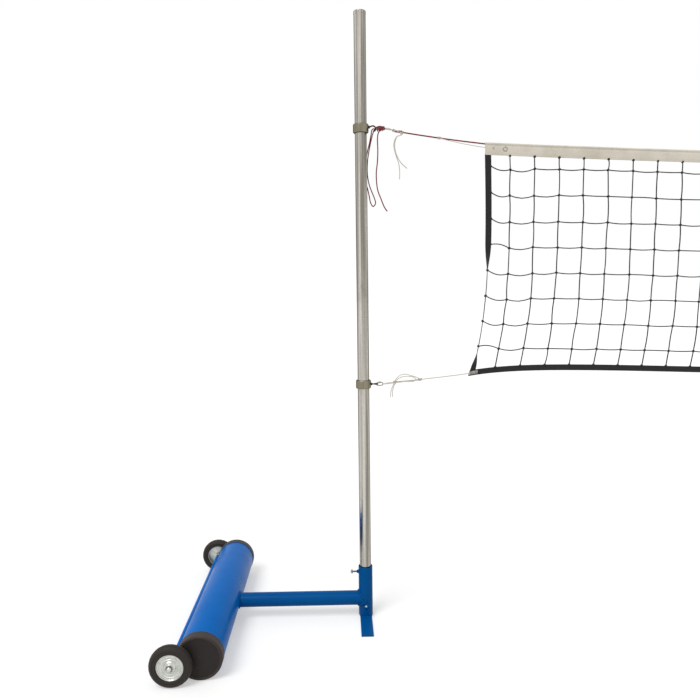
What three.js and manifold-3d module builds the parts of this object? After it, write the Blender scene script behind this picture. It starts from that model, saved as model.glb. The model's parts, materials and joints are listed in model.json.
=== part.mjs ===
// Volleyball net on two portable wheeled standards, in millimetres, +Z up.
// The origin is on the floor, midway between the two poles; the net runs along X.
import * as THREE from "three";
import { mergeVertices } from "three/addons/utils/BufferGeometryUtils.js";
import Module from "manifold-3d";

const wasm = await Module();
wasm.setup();

// Clearances between pieces that touch, slide or turn.
const GAP = 0.3;
const SLIDE_GAP = 0.45;
const TURN_GAP = 0.4;
const CUT_MARGIN = 2;

// Ballast cylinder and its caps.
const BALLAST_OD = 168.3;
const BALLAST_WALL = 4;
const BALLAST_LENGTH = 914.4;
const CAP_WALL = 1.7;
const CAP_END = 3;
const CAP_SKIRT = 38;
const BALLAST_TO_POLE = 628;

// Axle, sleeve and wheels.
const AXLE_OD = 12.7;
const SLEEVE_WALL = 3.9;
const WELD_LENGTH = 40;
const WELD_HEIGHT = 6;
const WELD_SPACING = 330;
const WHEEL_OD = 158;
const WHEEL_WIDTH = 38;
const WHEEL_FLOOR_GAP = 0.2;
const WHEEL_SIDE_GAP = 9.6;
const TYRE_DEPTH = 29;
const TYRE_SHOULDER = 10;
const TYRE_BEAD = 5;
const TYRE_ROUNDING = 3;
const RIM_WIDTH = 30;
const RIM_SHEET = 3;
const RIM_DISH = 3;
const RIM_CROWN = 6;
const HUB_OD = 27;
const HUB_LENGTH = 40;
const AXLE_NUT_OD = 19;
const AXLE_NUT_LENGTH = 10;

// Arm, socket and foot.
const ARM_OD = 60.3;
const ARM_WALL = 3.9;
const ARM_HEIGHT = 81.5;
const FOOT_WIDTH = 50.8;
const FOOT_LENGTH = 357;
const FOOT_THICKNESS = 6.35;
const SOCKET_SLOP = 2.1;
const SOCKET_WALL = 3.9;
const SOCKET_TOP = 225.6;

// Bolt that the pole stands on, and screw that clamps it.
const STOP_BOLT_OD = 12.7;
const STOP_BOLT_HEIGHT = 58;
const STOP_HEAD_FLATS = 19;
const STOP_HEAD_LENGTH = 8;
const STOP_TAIL = 4;
const CLAMP_SCREW_OD = 8;
const CLAMP_SCREW_HEIGHT = 200;
const CLAMP_SCREW_LENGTH = 40;
const CLAMP_NUT_FLATS = 13;
const CLAMP_NUT_LENGTH = 8;
const CLAMP_BAR_OD = 6;
const CLAMP_BAR_LENGTH = 36;

// Pole and collars.
const POLE_OD = 48.3;
const POLE_WALL = 2.6;
const POLE_LENGTH = 2438.4;
const POLE_CAP_LIP = 0.5;
const POLE_CAP_HEIGHT = 14;
const POLE_PLUG_DEPTH = 25;
const POLE_CAP_ROUNDING = 3;
const COLLAR_WALL = 6.9;
const COLLAR_HEIGHT = 35;
const COLLAR_CHAMFER = 2.5;
const UPPER_COLLAR_HEIGHT = 2063;
const LOWER_COLLAR_HEIGHT = 1020;

// Hook, eye and link that the net ties to.
const HOOK_WIRE = 6;
const EYE_WIRE = 6;
const EYE_STEM = 14;
const EYE_LOOP_OD = 20;
const LINK_WIRE = 4;
const LINK_LENGTH = 31;
const LINK_WIDTH = 17;

// Net.
const NET_LENGTH = 9754;
const NET_HEIGHT = 914.4;
const NET_TO_POLE = 504;
const NET_TOP = 2005;
const NET_SAG = 120;
const HEADBAND_WIDTH = 50;
const HEADBAND_THICKNESS = 4;
const TAPE_WIDTH = 25;
const TAPE_THICKNESS = 3;
const NETTING_THICKNESS = 3.5;
const NETTING_EDGE_GAP = 4;
const SEAM_GAP = 0.6;
const CORNER_DROP = 44;
const CORNER_REACH = 200;
const CORNER_PULL = 13;
const BOTTOM_PULL = 50;
const SIDE_BULGE = 8;
const SIDE_TWIST = 80 * (Math.PI / 180);
const TWIST_FROM = [0.38, 0.56];
const TWIST_BACK = [0.9, 1];
const TWIST_LEFT = 0.25;

// Ropes.
const TOP_ROPE_OD = 6;
const LASHING_OD = 5;
const TIE_OD = 4;
const BOTTOM_ROPE_OD = 4.5;
const BOW_OD = 4;

// Facets.
const SIDES = 24;
const SMALL_SIDES = 16;
const WIRE_SIDES = 8;
const ROPE_SIDES = 8;
const LINK_STEPS = 16;
const NET_COLUMNS = 36;
const NET_ROWS = 5;
const SIDE_ROWS = 20;

const HALF_NET = NET_LENGTH / 2;
const POLE_X = HALF_NET + NET_TO_POLE;
const BALLAST_R = BALLAST_OD / 2;
const CAP_R = BALLAST_R + GAP + CAP_WALL;
const POLE_R = POLE_OD / 2;
const SOCKET_BORE_R = POLE_R + SOCKET_SLOP;
const SOCKET_R = SOCKET_BORE_R + SOCKET_WALL;
const AXLE_R = AXLE_OD / 2;
const WHEEL_R = WHEEL_OD / 2;
const RIM_R = WHEEL_R - TYRE_DEPTH;
const SLEEVE_R = AXLE_R + TURN_GAP + SLEEVE_WALL;
const SLEEVE_HALF = BALLAST_LENGTH / 2 + WHEEL_SIDE_GAP - GAP;
const AXLE_X = -(BALLAST_TO_POLE + CAP_R + GAP + SLEEVE_R);
const AXLE_Z = WHEEL_R + WHEEL_FLOOR_GAP;
const WHEEL_Y = BALLAST_LENGTH / 2 + WHEEL_SIDE_GAP + HUB_LENGTH / 2;
const AXLE_SHOULDER = WHEEL_Y + HUB_LENGTH / 2 + GAP;
const POLE_BOTTOM = STOP_BOLT_HEIGHT + STOP_BOLT_OD / 2 + GAP;
const POLE_TOP = POLE_BOTTOM + POLE_LENGTH;
const COLLAR_BORE_R = POLE_R + SLIDE_GAP;
const COLLAR_R = COLLAR_BORE_R + COLLAR_WALL;

const GALVANISED = { color: 0xb4afa5, roughness: 0.35, metalness: 1 };
const BLUE_PAINT = { color: 0x015fae, roughness: 0.35, metalness: 0 };
const ZINC = { color: 0xc9cbc5, roughness: 0.3, metalness: 1 };
const BLACK_RUBBER = { color: 0x2b2725, roughness: 0.8, metalness: 0 };
const TYRE_RUBBER = { color: 0x3a3431, roughness: 0.85, metalness: 0 };
const DARK_STEEL = { color: 0x2a1d18, roughness: 0.5, metalness: 0.8 };
const WHITE_VINYL = { color: 0xcbc3b4, roughness: 0.6, metalness: 0 };
const BLACK_TAPE = { color: 0x0c0c0c, roughness: 0.8, metalness: 0 };
const RED_ROPE = { color: 0x7e0f16, roughness: 0.8, metalness: 0 };
const WHITE_ROPE = { color: 0xc7c2b8, roughness: 0.8, metalness: 0 };

// Shape helpers.

/** A three.js geometry as a solid that can be joined or cut. */
function solidOf(geometry) {
  const bare = geometry.clone();
  bare.deleteAttribute("normal");
  bare.deleteAttribute("uv");
  const merged = mergeVertices(bare, 1e-4);
  return new wasm.Manifold(
    new wasm.Mesh({
      numProp: 3,
      vertProperties: merged.attributes.position.array,
      triVerts: new Uint32Array(merged.index.array),
    }),
  );
}

/** The geometry of a solid. */
function geometryOf(solid) {
  const mesh = solid.getMesh();
  const geometry = new THREE.BufferGeometry();
  geometry.setAttribute("position", new THREE.BufferAttribute(mesh.vertProperties, 3));
  geometry.setIndex(new THREE.BufferAttribute(mesh.triVerts, 1));
  return geometry;
}

/** The first geometry with the others cut out of it. */
function cut(geometry, ...tools) {
  return geometryOf(tools.reduce((solid, tool) => solid.subtract(solidOf(tool)), solidOf(geometry)));
}

/** All the geometries joined into one. */
function join(geometry, ...others) {
  return geometryOf(others.reduce((solid, other) => solid.add(solidOf(other)), solidOf(geometry)));
}

/** A profile of [radius, height] corners turned about Z. */
function turned(profile, sides) {
  const points = profile.map(([radius, height]) => new THREE.Vector2(radius, height));
  return new THREE.LatheGeometry(points, sides).rotateX(Math.PI / 2);
}

/** A solid round bar along Z, from low to high. */
function rod(radius, low, high, sides = SMALL_SIDES) {
  return turned([[0, low], [radius, low], [radius, high], [0, high]], sides);
}

/** A round tube along Z, from low to high. */
function tube(outer, inner, low, high, sides = SIDES) {
  return turned([[inner, low], [outer, low], [outer, high], [inner, high], [inner, low]], sides);
}

/** A hexagonal bar along Z, measured across its flats. */
function hexagon(flats, low, high) {
  return rod(flats / Math.sqrt(3), low, high, 6);
}

/** The same geometry with its Z axis laid along X. */
function alongX(geometry) {
  return geometry.rotateY(Math.PI / 2);
}

/** The same geometry with its Z axis laid along Y. */
function alongY(geometry) {
  return geometry.rotateX(-Math.PI / 2);
}

/** A round wire or rope through the given points. */
function wire(points, diameter, steps, sides = ROPE_SIDES) {
  const section = new THREE.Shape();
  for (let i = 0; i < sides; i += 1) {
    const angle = (2 * Math.PI * i) / sides;
    const x = (diameter / 2) * Math.cos(angle);
    const y = (diameter / 2) * Math.sin(angle);
    if (i === 0) section.moveTo(x, y);
    else section.lineTo(x, y);
  }
  section.closePath();
  const route = new THREE.CatmullRomCurve3(points.map(([x, y, z]) => new THREE.Vector3(x, y, z)));
  return new THREE.ExtrudeGeometry(section, { steps, extrudePath: route });
}

/** A closed sheet: place(u, v) gives its middle surface and face(u, v) half its thickness, as vectors. */
function sheet(columns, rows, place, face) {
  const corners = [];
  const indices = [];
  const perSide = (columns + 1) * (rows + 1);
  for (const side of [-1, 1]) {
    for (let i = 0; i <= columns; i += 1) {
      for (let j = 0; j <= rows; j += 1) {
        const point = place(i / columns, j / rows).addScaledVector(face(i / columns, j / rows), side);
        corners.push(point.x, point.y, point.z);
      }
    }
  }
  const quad = (a, b, c, d) => indices.push(a, b, c, a, c, d);
  const front = (i, j) => i * (rows + 1) + j;
  const back = (i, j) => perSide + front(i, j);
  for (let i = 0; i < columns; i += 1) {
    for (let j = 0; j < rows; j += 1) {
      quad(front(i, j), front(i, j + 1), front(i + 1, j + 1), front(i + 1, j));
      quad(back(i, j), back(i + 1, j), back(i + 1, j + 1), back(i, j + 1));
    }
  }
  for (let i = 0; i < columns; i += 1) {
    quad(front(i, 0), front(i + 1, 0), back(i + 1, 0), back(i, 0));
    quad(front(i + 1, rows), front(i, rows), back(i, rows), back(i + 1, rows));
  }
  for (let j = 0; j < rows; j += 1) {
    quad(front(0, j + 1), front(0, j), back(0, j), back(0, j + 1));
    quad(front(columns, j), front(columns, j + 1), back(columns, j + 1), back(columns, j));
  }
  const geometry = new THREE.BufferGeometry();
  geometry.setAttribute("position", new THREE.Float32BufferAttribute(corners, 3));
  geometry.setIndex(indices);
  return geometry;
}

/** A named mesh with its own material. */
function piece(name, geometry, finish) {
  const mesh = new THREE.Mesh(geometry, new THREE.MeshStandardMaterial(finish));
  mesh.name = name;
  return mesh;
}

// Wheeled base, in the standard's own frame: the pole's axis is at x = 0, y = 0 and the net is towards +X.

function ballastTube() {
  const half = BALLAST_LENGTH / 2 - CAP_END - GAP;
  const shell = alongY(tube(BALLAST_R, BALLAST_R - BALLAST_WALL, -half, half));
  return shell.translate(-BALLAST_TO_POLE, 0, CAP_R);
}

function endCap(direction) {
  const end = BALLAST_LENGTH / 2;
  const profile = [
    [0, end - CAP_END],
    [CAP_R - CAP_WALL, end - CAP_END],
    [CAP_R - CAP_WALL, end - CAP_SKIRT],
    [CAP_R, end - CAP_SKIRT],
    [CAP_R, end - CAP_END],
    [CAP_R - CAP_END, end],
    [0, end],
  ];
  const cap = alongY(turned(profile, SIDES));
  if (direction < 0) cap.rotateZ(Math.PI);
  return cap.translate(-BALLAST_TO_POLE, 0, CAP_R);
}

/** The tube that the axle runs through, with the welds that hold it to the ballast cylinder. */
function axleSleeve() {
  const sleeve = tube(SLEEVE_R, AXLE_R + TURN_GAP, -SLEEVE_HALF, SLEEVE_HALF, SMALL_SIDES);
  const outside = alongY(sleeve).translate(AXLE_X, 0, AXLE_Z);
  const from = AXLE_X + SLEEVE_R - SLEEVE_WALL / 2;
  const to = -BALLAST_TO_POLE - BALLAST_R;
  const welds = [-1, 0, 1].map((place) => {
    const weld = new THREE.BoxGeometry(to - from, WELD_LENGTH, WELD_HEIGHT);
    return weld.translate((from + to) / 2, place * WELD_SPACING, AXLE_Z);
  });
  return join(outside, ...welds);
}

/** The axle, with its formed head at the front. */
function axle() {
  const head = AXLE_SHOULDER + AXLE_NUT_LENGTH;
  const profile = [
    [0, -head],
    [AXLE_NUT_OD / 4, -head],
    [AXLE_NUT_OD / 2, -(AXLE_SHOULDER + AXLE_NUT_LENGTH / 2)],
    [AXLE_NUT_OD / 2, -AXLE_SHOULDER],
    [AXLE_R, -AXLE_SHOULDER],
    [AXLE_R, AXLE_SHOULDER + AXLE_NUT_LENGTH / 2],
    [0, AXLE_SHOULDER + AXLE_NUT_LENGTH / 2],
  ];
  return alongY(turned(profile, SMALL_SIDES)).translate(AXLE_X, 0, AXLE_Z);
}

/** The cap nut that closes the back end of the axle. */
function axleNut() {
  const bore = AXLE_R + GAP;
  const bottom = AXLE_SHOULDER + AXLE_NUT_LENGTH / 2 + GAP;
  const profile = [
    [bore, AXLE_SHOULDER],
    [AXLE_NUT_OD / 2, AXLE_SHOULDER],
    [AXLE_NUT_OD / 2, bottom],
    [AXLE_NUT_OD / 4, AXLE_SHOULDER + AXLE_NUT_LENGTH],
    [0, AXLE_SHOULDER + AXLE_NUT_LENGTH],
    [0, bottom],
    [bore, bottom],
    [bore, AXLE_SHOULDER],
  ];
  return alongY(turned(profile, SMALL_SIDES)).translate(AXLE_X, 0, AXLE_Z);
}

/** Places a wheel piece, made about Z with its outer face up, at the front or back of the base. */
function onAxle(geometry, direction) {
  const laid = alongY(geometry);
  if (direction < 0) laid.rotateZ(Math.PI);
  return laid.translate(AXLE_X, direction * WHEEL_Y, AXLE_Z);
}

function tyre(direction) {
  const seat = RIM_R + GAP;
  const outer = WHEEL_R;
  const half = WHEEL_WIDTH / 2;
  const shoulder = outer - TYRE_SHOULDER;
  const profile = [
    [seat, -half + TYRE_BEAD],
    [seat + TYRE_BEAD, -half],
    [shoulder, -half + TYRE_ROUNDING],
    [outer, -half / 3],
    [outer, half / 3],
    [shoulder, half - TYRE_ROUNDING],
    [seat + TYRE_BEAD, half],
    [seat, half - TYRE_BEAD],
    [seat, -half + TYRE_BEAD],
  ];
  return onAxle(turned(profile, SIDES), direction);
}

/** A pressed rim: a hub tube, a dished disc at the outer face and a cylindrical seat for the tyre. */
function rim(direction) {
  const bore = AXLE_R + TURN_GAP;
  const hub = HUB_OD / 2;
  const seat = RIM_R;
  const face = RIM_WIDTH / 2;
  const dish = face - RIM_DISH;
  const profile = [
    [bore, -HUB_LENGTH / 2],
    [hub, -HUB_LENGTH / 2],
    [hub, dish - RIM_SHEET],
    [seat - RIM_SHEET, dish - RIM_SHEET],
    [seat - RIM_SHEET, -face],
    [seat, -face],
    [seat, face],
    [(seat + hub + RIM_CROWN) / 2 + RIM_CROWN, dish],
    [hub + RIM_CROWN, face],
    [hub, face + RIM_DISH],
    [bore, HUB_LENGTH / 2],
    [bore, -HUB_LENGTH / 2],
  ];
  return onAxle(turned(profile, SIDES), direction);
}

/** The arm, coped to the ballast cylinder at one end and to the socket at the other. */
function armTube() {
  const bar = alongX(tube(ARM_OD / 2, ARM_OD / 2 - ARM_WALL, -BALLAST_TO_POLE, 0));
  bar.translate(0, 0, ARM_HEIGHT);
  const cylinder = alongY(rod(BALLAST_R + GAP, -ARM_OD, ARM_OD, SIDES));
  cylinder.translate(-BALLAST_TO_POLE, 0, CAP_R);
  const post = rod(SOCKET_R + GAP, 0, SOCKET_TOP, SIDES);
  return cut(bar, cylinder, post);
}

/** The socket, with the welded nut that the clamp screw turns in. */
function postSocket() {
  const wall = tube(SOCKET_R, SOCKET_BORE_R, FOOT_THICKNESS, SOCKET_TOP);
  const nutEnd = SOCKET_R + CLAMP_NUT_LENGTH;
  const nut = alongX(hexagon(CLAMP_NUT_FLATS, -nutEnd, -(SOCKET_R - SOCKET_WALL / 2)));
  nut.translate(0, 0, CLAMP_SCREW_HEIGHT);
  const screwHole = alongX(rod(CLAMP_SCREW_OD / 2 + TURN_GAP, -nutEnd - CUT_MARGIN, 0));
  screwHole.translate(0, 0, CLAMP_SCREW_HEIGHT);
  const boltHole = alongY(rod(STOP_BOLT_OD / 2 + GAP, -SOCKET_R - CUT_MARGIN, SOCKET_R + CUT_MARGIN));
  boltHole.translate(0, 0, STOP_BOLT_HEIGHT);
  return cut(join(wall, nut), screwHole, boltHole);
}

function footBar() {
  const bar = new THREE.BoxGeometry(FOOT_WIDTH, FOOT_LENGTH, FOOT_THICKNESS);
  return bar.translate(0, 0, FOOT_THICKNESS / 2);
}

/** The bolt through the socket, with its nut. */
function stopBolt() {
  const seat = SOCKET_R + GAP;
  const shank = rod(STOP_BOLT_OD / 2, -seat - CUT_MARGIN, seat + STOP_HEAD_LENGTH + STOP_TAIL);
  const head = hexagon(STOP_HEAD_FLATS, -seat - STOP_HEAD_LENGTH, -seat);
  const nut = hexagon(STOP_HEAD_FLATS, seat, seat + STOP_HEAD_LENGTH);
  return alongY(join(shank, head, nut)).translate(0, 0, STOP_BOLT_HEIGHT);
}

/** The clamp screw, with its cross bar. */
function clampScrew() {
  const tip = POLE_R + GAP;
  const end = tip + CLAMP_SCREW_LENGTH;
  const shank = alongX(rod(CLAMP_SCREW_OD / 2, -end, -tip));
  const bar = alongY(rod(CLAMP_BAR_OD / 2, -CLAMP_BAR_LENGTH / 2, CLAMP_BAR_LENGTH / 2));
  bar.translate(-end + CLAMP_BAR_OD, 0, 0);
  return join(shank, bar).translate(0, 0, CLAMP_SCREW_HEIGHT);
}

// Pole and what slides on it.

function pole() {
  return tube(POLE_R, POLE_R - POLE_WALL, POLE_BOTTOM, POLE_TOP);
}

function poleCap() {
  const lip = POLE_R + POLE_CAP_LIP;
  const plug = POLE_R - POLE_WALL - GAP;
  const top = POLE_TOP + POLE_CAP_HEIGHT;
  const profile = [
    [0, POLE_TOP - POLE_PLUG_DEPTH],
    [plug, POLE_TOP - POLE_PLUG_DEPTH],
    [plug, POLE_TOP],
    [lip, POLE_TOP],
    [lip, top - POLE_CAP_ROUNDING],
    [lip - POLE_CAP_ROUNDING / 3, top - POLE_CAP_ROUNDING / 3],
    [lip - POLE_CAP_ROUNDING, top],
    [0, top],
  ];
  return turned(profile, SIDES);
}

function collar(height) {
  const bore = COLLAR_BORE_R;
  const half = COLLAR_HEIGHT / 2;
  const profile = [
    [bore, -half],
    [COLLAR_R - COLLAR_CHAMFER, -half],
    [COLLAR_R, -half + COLLAR_CHAMFER],
    [COLLAR_R, half - COLLAR_CHAMFER],
    [COLLAR_R - COLLAR_CHAMFER, half],
    [bore, half],
    [bore, -half],
  ];
  return turned(profile, SIDES).translate(0, 0, height);
}

/** The open hook on the upper collar. */
function upperHook() {
  const points = [
    [0, 6],
    [4, 6.3],
    [11, 9.5],
    [20, 10],
    [27, 4],
    [28, -4],
    [23, -9.5],
    [17, -10],
  ].map(([x, z]) => [COLLAR_R + 2 * GAP + x, 0, UPPER_COLLAR_HEIGHT + z]);
  return wire(points, HOOK_WIRE, 14, WIRE_SIDES);
}

/** The eye on the lower collar: a stem and a standing ring. */
function lowerEye() {
  const start = COLLAR_R + GAP;
  const ringX = start + EYE_STEM + EYE_LOOP_OD / 2 - EYE_WIRE / 2;
  const stem = alongX(rod(EYE_WIRE / 2, start, start + EYE_STEM, WIRE_SIDES));
  const ring = new THREE.TorusGeometry((EYE_LOOP_OD - EYE_WIRE) / 2, EYE_WIRE / 2, WIRE_SIDES, SMALL_SIDES);
  ring.translate(ringX, 0, 0);
  return join(stem, ring).translate(0, 0, LOWER_COLLAR_HEIGHT);
}

const LINK_NEAR = COLLAR_R + GAP + EYE_STEM + EYE_LOOP_OD - EYE_WIRE * 1.5 - LINK_WIRE - GAP;

/** The oval link that hangs in the eye. */
function quickLink() {
  const radius = (LINK_WIDTH - LINK_WIRE) / 2;
  const half = LINK_LENGTH / 2 - LINK_WIDTH / 2;
  const centre = LINK_NEAR + LINK_LENGTH / 2;
  const points = [];
  for (let i = 0; i < LINK_STEPS; i += 1) {
    const angle = (2 * Math.PI * (i + 0.5)) / LINK_STEPS;
    const x = centre + Math.sign(Math.cos(angle)) * half + radius * Math.cos(angle);
    points.push(new THREE.Vector3(x, 0, LOWER_COLLAR_HEIGHT + radius * Math.sin(angle)));
  }
  return closedWire(points, LINK_WIRE, ROPE_SIDES);
}

/** A round wire bent into a closed loop that lies in an XZ plane. */
function closedWire(points, diameter, sides) {
  const corners = [];
  const indices = [];
  const across = new THREE.Vector3(0, 1, 0);
  points.forEach((point, i) => {
    const after = points[(i + 1) % points.length];
    const before = points[(i + points.length - 1) % points.length];
    const along = after.clone().sub(before).normalize();
    const outward = along.cross(across);
    for (let j = 0; j < sides; j += 1) {
      const angle = (2 * Math.PI * j) / sides;
      const corner = point.clone();
      corner.addScaledVector(across, (diameter / 2) * Math.sin(angle));
      corner.addScaledVector(outward, (diameter / 2) * Math.cos(angle));
      corners.push(corner.x, corner.y, corner.z);
    }
  });
  for (let i = 0; i < points.length; i += 1) {
    const next = (i + 1) % points.length;
    for (let j = 0; j < sides; j += 1) {
      const turn = (j + 1) % sides;
      indices.push(i * sides + j, next * sides + turn, i * sides + turn);
      indices.push(i * sides + j, next * sides + j, next * sides + turn);
    }
  }
  const geometry = new THREE.BufferGeometry();
  geometry.setAttribute("position", new THREE.Float32BufferAttribute(corners, 3));
  geometry.setIndex(indices);
  return geometry;
}

// Net. Its points are given by a place along the headband and a depth, 0 at the top edge and 1 at the bottom.

/** How much of the corner's pull reaches a place along the net. */
function cornerShare(x) {
  return Math.exp(-(HALF_NET - Math.abs(x)) / CORNER_REACH);
}

/** The net's height at a place along it. */
function netHeight(x) {
  return NET_HEIGHT + CORNER_DROP * cornerShare(x);
}

/** A point of the net's middle surface. */
function netPoint(x, depth) {
  const pull = (BOTTOM_PULL + CORNER_PULL * cornerShare(x)) * depth ** 4;
  const bulge = SIDE_BULGE * cornerShare(x) * Math.sin(Math.PI * depth);
  const lean = (x / HALF_NET) * pull - Math.sign(x) * bulge;
  const top = NET_TOP - NET_SAG * (1 - (x / HALF_NET) ** 2);
  return new THREE.Vector3(x + lean, 0, top - depth * netHeight(x));
}

/** The depth of a line at a distance from the net's top edge, or from its bottom edge if negative. */
function netDepth(x, distance) {
  const height = netHeight(x);
  return (distance >= 0 ? distance : height + distance) / height;
}

/** A part of the net between two lines, with its columns closer together towards the ends. */
function netSheet(half, from, to, thickness, rows) {
  const place = (u, v) => {
    const x = -half * Math.cos(Math.PI * u);
    return netPoint(x, netDepth(x, from) + (netDepth(x, to) - netDepth(x, from)) * v);
  };
  return sheet(NET_COLUMNS, rows, place, () => new THREE.Vector3(0, thickness / 2, 0));
}

function headband() {
  return netSheet(HALF_NET, 0, HEADBAND_WIDTH, HEADBAND_THICKNESS, 1);
}

function bottomTape() {
  const bottomEdge = -1e-3;
  return netSheet(HALF_NET, -TAPE_WIDTH, bottomEdge, TAPE_THICKNESS, 1);
}

function netting() {
  const half = HALF_NET - TAPE_WIDTH - NETTING_EDGE_GAP;
  return netSheet(half, HEADBAND_WIDTH + SEAM_GAP, -(TAPE_WIDTH + SEAM_GAP), NETTING_THICKNESS, NET_ROWS);
}

/** A share that rises smoothly from 0 to 1 between two values. */
function smooth(value, [from, to]) {
  const share = Math.min(Math.max((value - from) / (to - from), 0), 1);
  return share * share * (3 - 2 * share);
}

/** The tape down one end of the net, which twists on its way. */
function sideTape(side) {
  const centre = side * (HALF_NET - TAPE_WIDTH / 2);
  const turn = (u) => SIDE_TWIST * (smooth(u, TWIST_FROM) - (1 - TWIST_LEFT) * smooth(u, TWIST_BACK));
  const place = (u, v) => {
    const across = TAPE_WIDTH * (v - 0.5);
    const x = centre + across * Math.cos(turn(u));
    const from = netDepth(x, HEADBAND_WIDTH + GAP);
    const to = netDepth(x, -(TAPE_WIDTH + GAP));
    return netPoint(x, from + (to - from) * u).add(new THREE.Vector3(0, across * Math.sin(turn(u)), 0));
  };
  const face = (u) => {
    const outward = new THREE.Vector3(Math.sin(turn(u)), -Math.cos(turn(u)), 0);
    return outward.multiplyScalar(TAPE_THICKNESS / 2);
  };
  return sheet(SIDE_ROWS, 1, place, face);
}

// Ropes, in the standard's own frame.

/** The end of the head rope, from its eye to the headband. */
function topRope() {
  const end = NET_TO_POLE - GAP;
  return wire(
    [
      [130, 1, UPPER_COLLAR_HEIGHT - 6],
      [150, 0.5, UPPER_COLLAR_HEIGHT - 11.5],
      [167, 0, UPPER_COLLAR_HEIGHT - 15.5],
      [300, 0, UPPER_COLLAR_HEIGHT - 37],
      [end, 0, NET_TOP - TOP_ROPE_OD],
    ],
    TOP_ROPE_OD,
    12,
  );
}

/** The end of the bottom rope, from the link to the net's corner. */
function bottomRope() {
  const corner = netPoint(-HALF_NET, netDepth(-HALF_NET, -TAPE_WIDTH / 2));
  return wire(
    [
      [LINK_NEAR + LINK_LENGTH + GAP, 0, LOWER_COLLAR_HEIGHT],
      [130, 0, LOWER_COLLAR_HEIGHT + 6],
      [240, 0, LOWER_COLLAR_HEIGHT + 16],
      [400, 0, LOWER_COLLAR_HEIGHT + 34],
      [corner.x + POLE_X - GAP - BOTTOM_ROPE_OD / 6, 0, corner.z],
    ],
    BOTTOM_ROPE_OD,
    12,
  );
}

/** Red lashing on the hook: a long bight behind the pole, the knot and one tail. */
const LASHING_ROUTE = [
  [72, 2, 2061],
  [66, 5, 2062],
  [60, 6.1, 2061],
  [52, 8.5, 2064],
  [46, 10, 2060],
  [42, 14, 2040],
  [36, 20, 2010],
  [27, 29, 1975],
  [21, 33, 1940],
  [19, 35, 1890],
  [22, 35, 1850],
  [29, 33.5, 1820],
  [34, 32, 1795],
  [39, 31, 1771],
  [49, 31, 1757],
  [59, 31.5, 1769],
  [54, 33, 1792],
  [43, 36, 1820],
  [33, 39, 1850],
  [27, 41, 1890],
  [28, 40, 1940],
  [35, 35, 1985],
  [43, 27, 2022],
  [50, 21, 2048],
  [57, 18, 2064],
  [66, 16, 2072],
  [78, 10, 2074],
  [88, 1, 2069],
  [88, -7, 2060],
  [78, -10, 2054],
  [70, -9.5, 2042],
  [67, -8, 2022],
  [68, -7, 1975],
  [66, -6.5, 1930],
  [61, -6, 1883],
  [66, -6, 1820],
  [79, -6, 1784],
  [93, -6, 1750],
  [105, -6, 1732],
];

/** White tie from the lashing to the head rope's eye, with its tail. */
const TIE_ROUTE = [
  [91, -3, 2063.5],
  [112, -2, 2063],
  [128, -4.5, 2056],
  [146, -4.3, 2050.7],
  [160, -6.5, 2045],
  [166, -8, 2038],
  [158, -9, 2033],
  [146, -8, 2030],
  [136, -7, 2014],
  [133, -7, 1995],
  [137, -7, 1970],
  [145, -7, 1945],
  [153, -7, 1920],
  [156, -7, 1890],
  [155, -7, 1860],
];

/** White bow on the bottom rope: out from a hitch, back over the rope to the knot, and one tail. */
const BOW_ROUTE = [
  [240, -4.5, 1036.5],
  [222, -5, 1047],
  [200, -5, 1054],
  [176, -5, 1060],
  [152, -5, 1055],
  [136, -6, 1039],
  [127, -6, 1020],
  [119, -6, 1002],
  [114, -6, 983],
  [113, -6, 963],
];

function standard(side) {
  const group = new THREE.Group();
  const add = (name, geometry, finish) => group.add(piece(`${side}_${name}`, geometry, finish));
  add("ballast_tube", ballastTube(), BLUE_PAINT);
  add("axle_sleeve", axleSleeve(), BLUE_PAINT);
  add("axle", axle(), ZINC);
  add("axle_nut", axleNut(), ZINC);
  for (const [end, direction] of [["front", -1], ["back", 1]]) {
    add(`end_cap_${end}`, endCap(direction), BLACK_RUBBER);
    add(`tyre_${end}`, tyre(direction), TYRE_RUBBER);
    add(`rim_${end}`, rim(direction), ZINC);
  }
  add("arm_tube", armTube(), BLUE_PAINT);
  add("post_socket", postSocket(), BLUE_PAINT);
  add("foot_bar", footBar(), BLUE_PAINT);
  add("stop_bolt", stopBolt(), ZINC);
  add("clamp_screw", clampScrew(), ZINC);
  add("pole", pole(), GALVANISED);
  add("pole_cap", poleCap(), GALVANISED);
  add("upper_collar", collar(UPPER_COLLAR_HEIGHT), GALVANISED);
  add("upper_hook", upperHook(), DARK_STEEL);
  add("lower_collar", collar(LOWER_COLLAR_HEIGHT), GALVANISED);
  add("lower_eye", lowerEye(), DARK_STEEL);
  add("quick_link", quickLink(), ZINC);
  add("top_rope", topRope(), RED_ROPE);
  add("bottom_rope", bottomRope(), WHITE_ROPE);
  add("lashing", wire(LASHING_ROUTE, LASHING_OD, 64), RED_ROPE);
  add("tie", wire(TIE_ROUTE, TIE_OD, 28), WHITE_ROPE);
  add("bow", wire(BOW_ROUTE, BOW_OD, 18), WHITE_ROPE);
  return group;
}

const set = new THREE.Group();
const left = standard("left");
left.position.set(-POLE_X, 0, 0);
const right = standard("right");
right.position.set(POLE_X, 0, 0);
right.rotation.z = Math.PI;
set.add(left, right);
set.add(piece("headband", headband(), WHITE_VINYL));
set.add(piece("bottom_tape", bottomTape(), BLACK_TAPE));
set.add(piece("netting", netting(), BLACK_TAPE));
set.add(piece("side_tape_left", sideTape(-1), BLACK_TAPE));
set.add(piece("side_tape_right", sideTape(1), BLACK_TAPE));

export default set;
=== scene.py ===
"""A volleyball net on two portable wheeled standards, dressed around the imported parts.

Every size is in metres. Each standard is built in its own frame, with the pole's
axis at x = 0, y = 0 and the net towards +X, and is then set at its end of the net.
"""

import json
import logging
import math
from collections.abc import Callable, Iterable, Sequence
from dataclasses import dataclass, field
from enum import Enum
from typing import Any

import bmesh
import bpy
from mathutils import Matrix, Vector, noise

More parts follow.
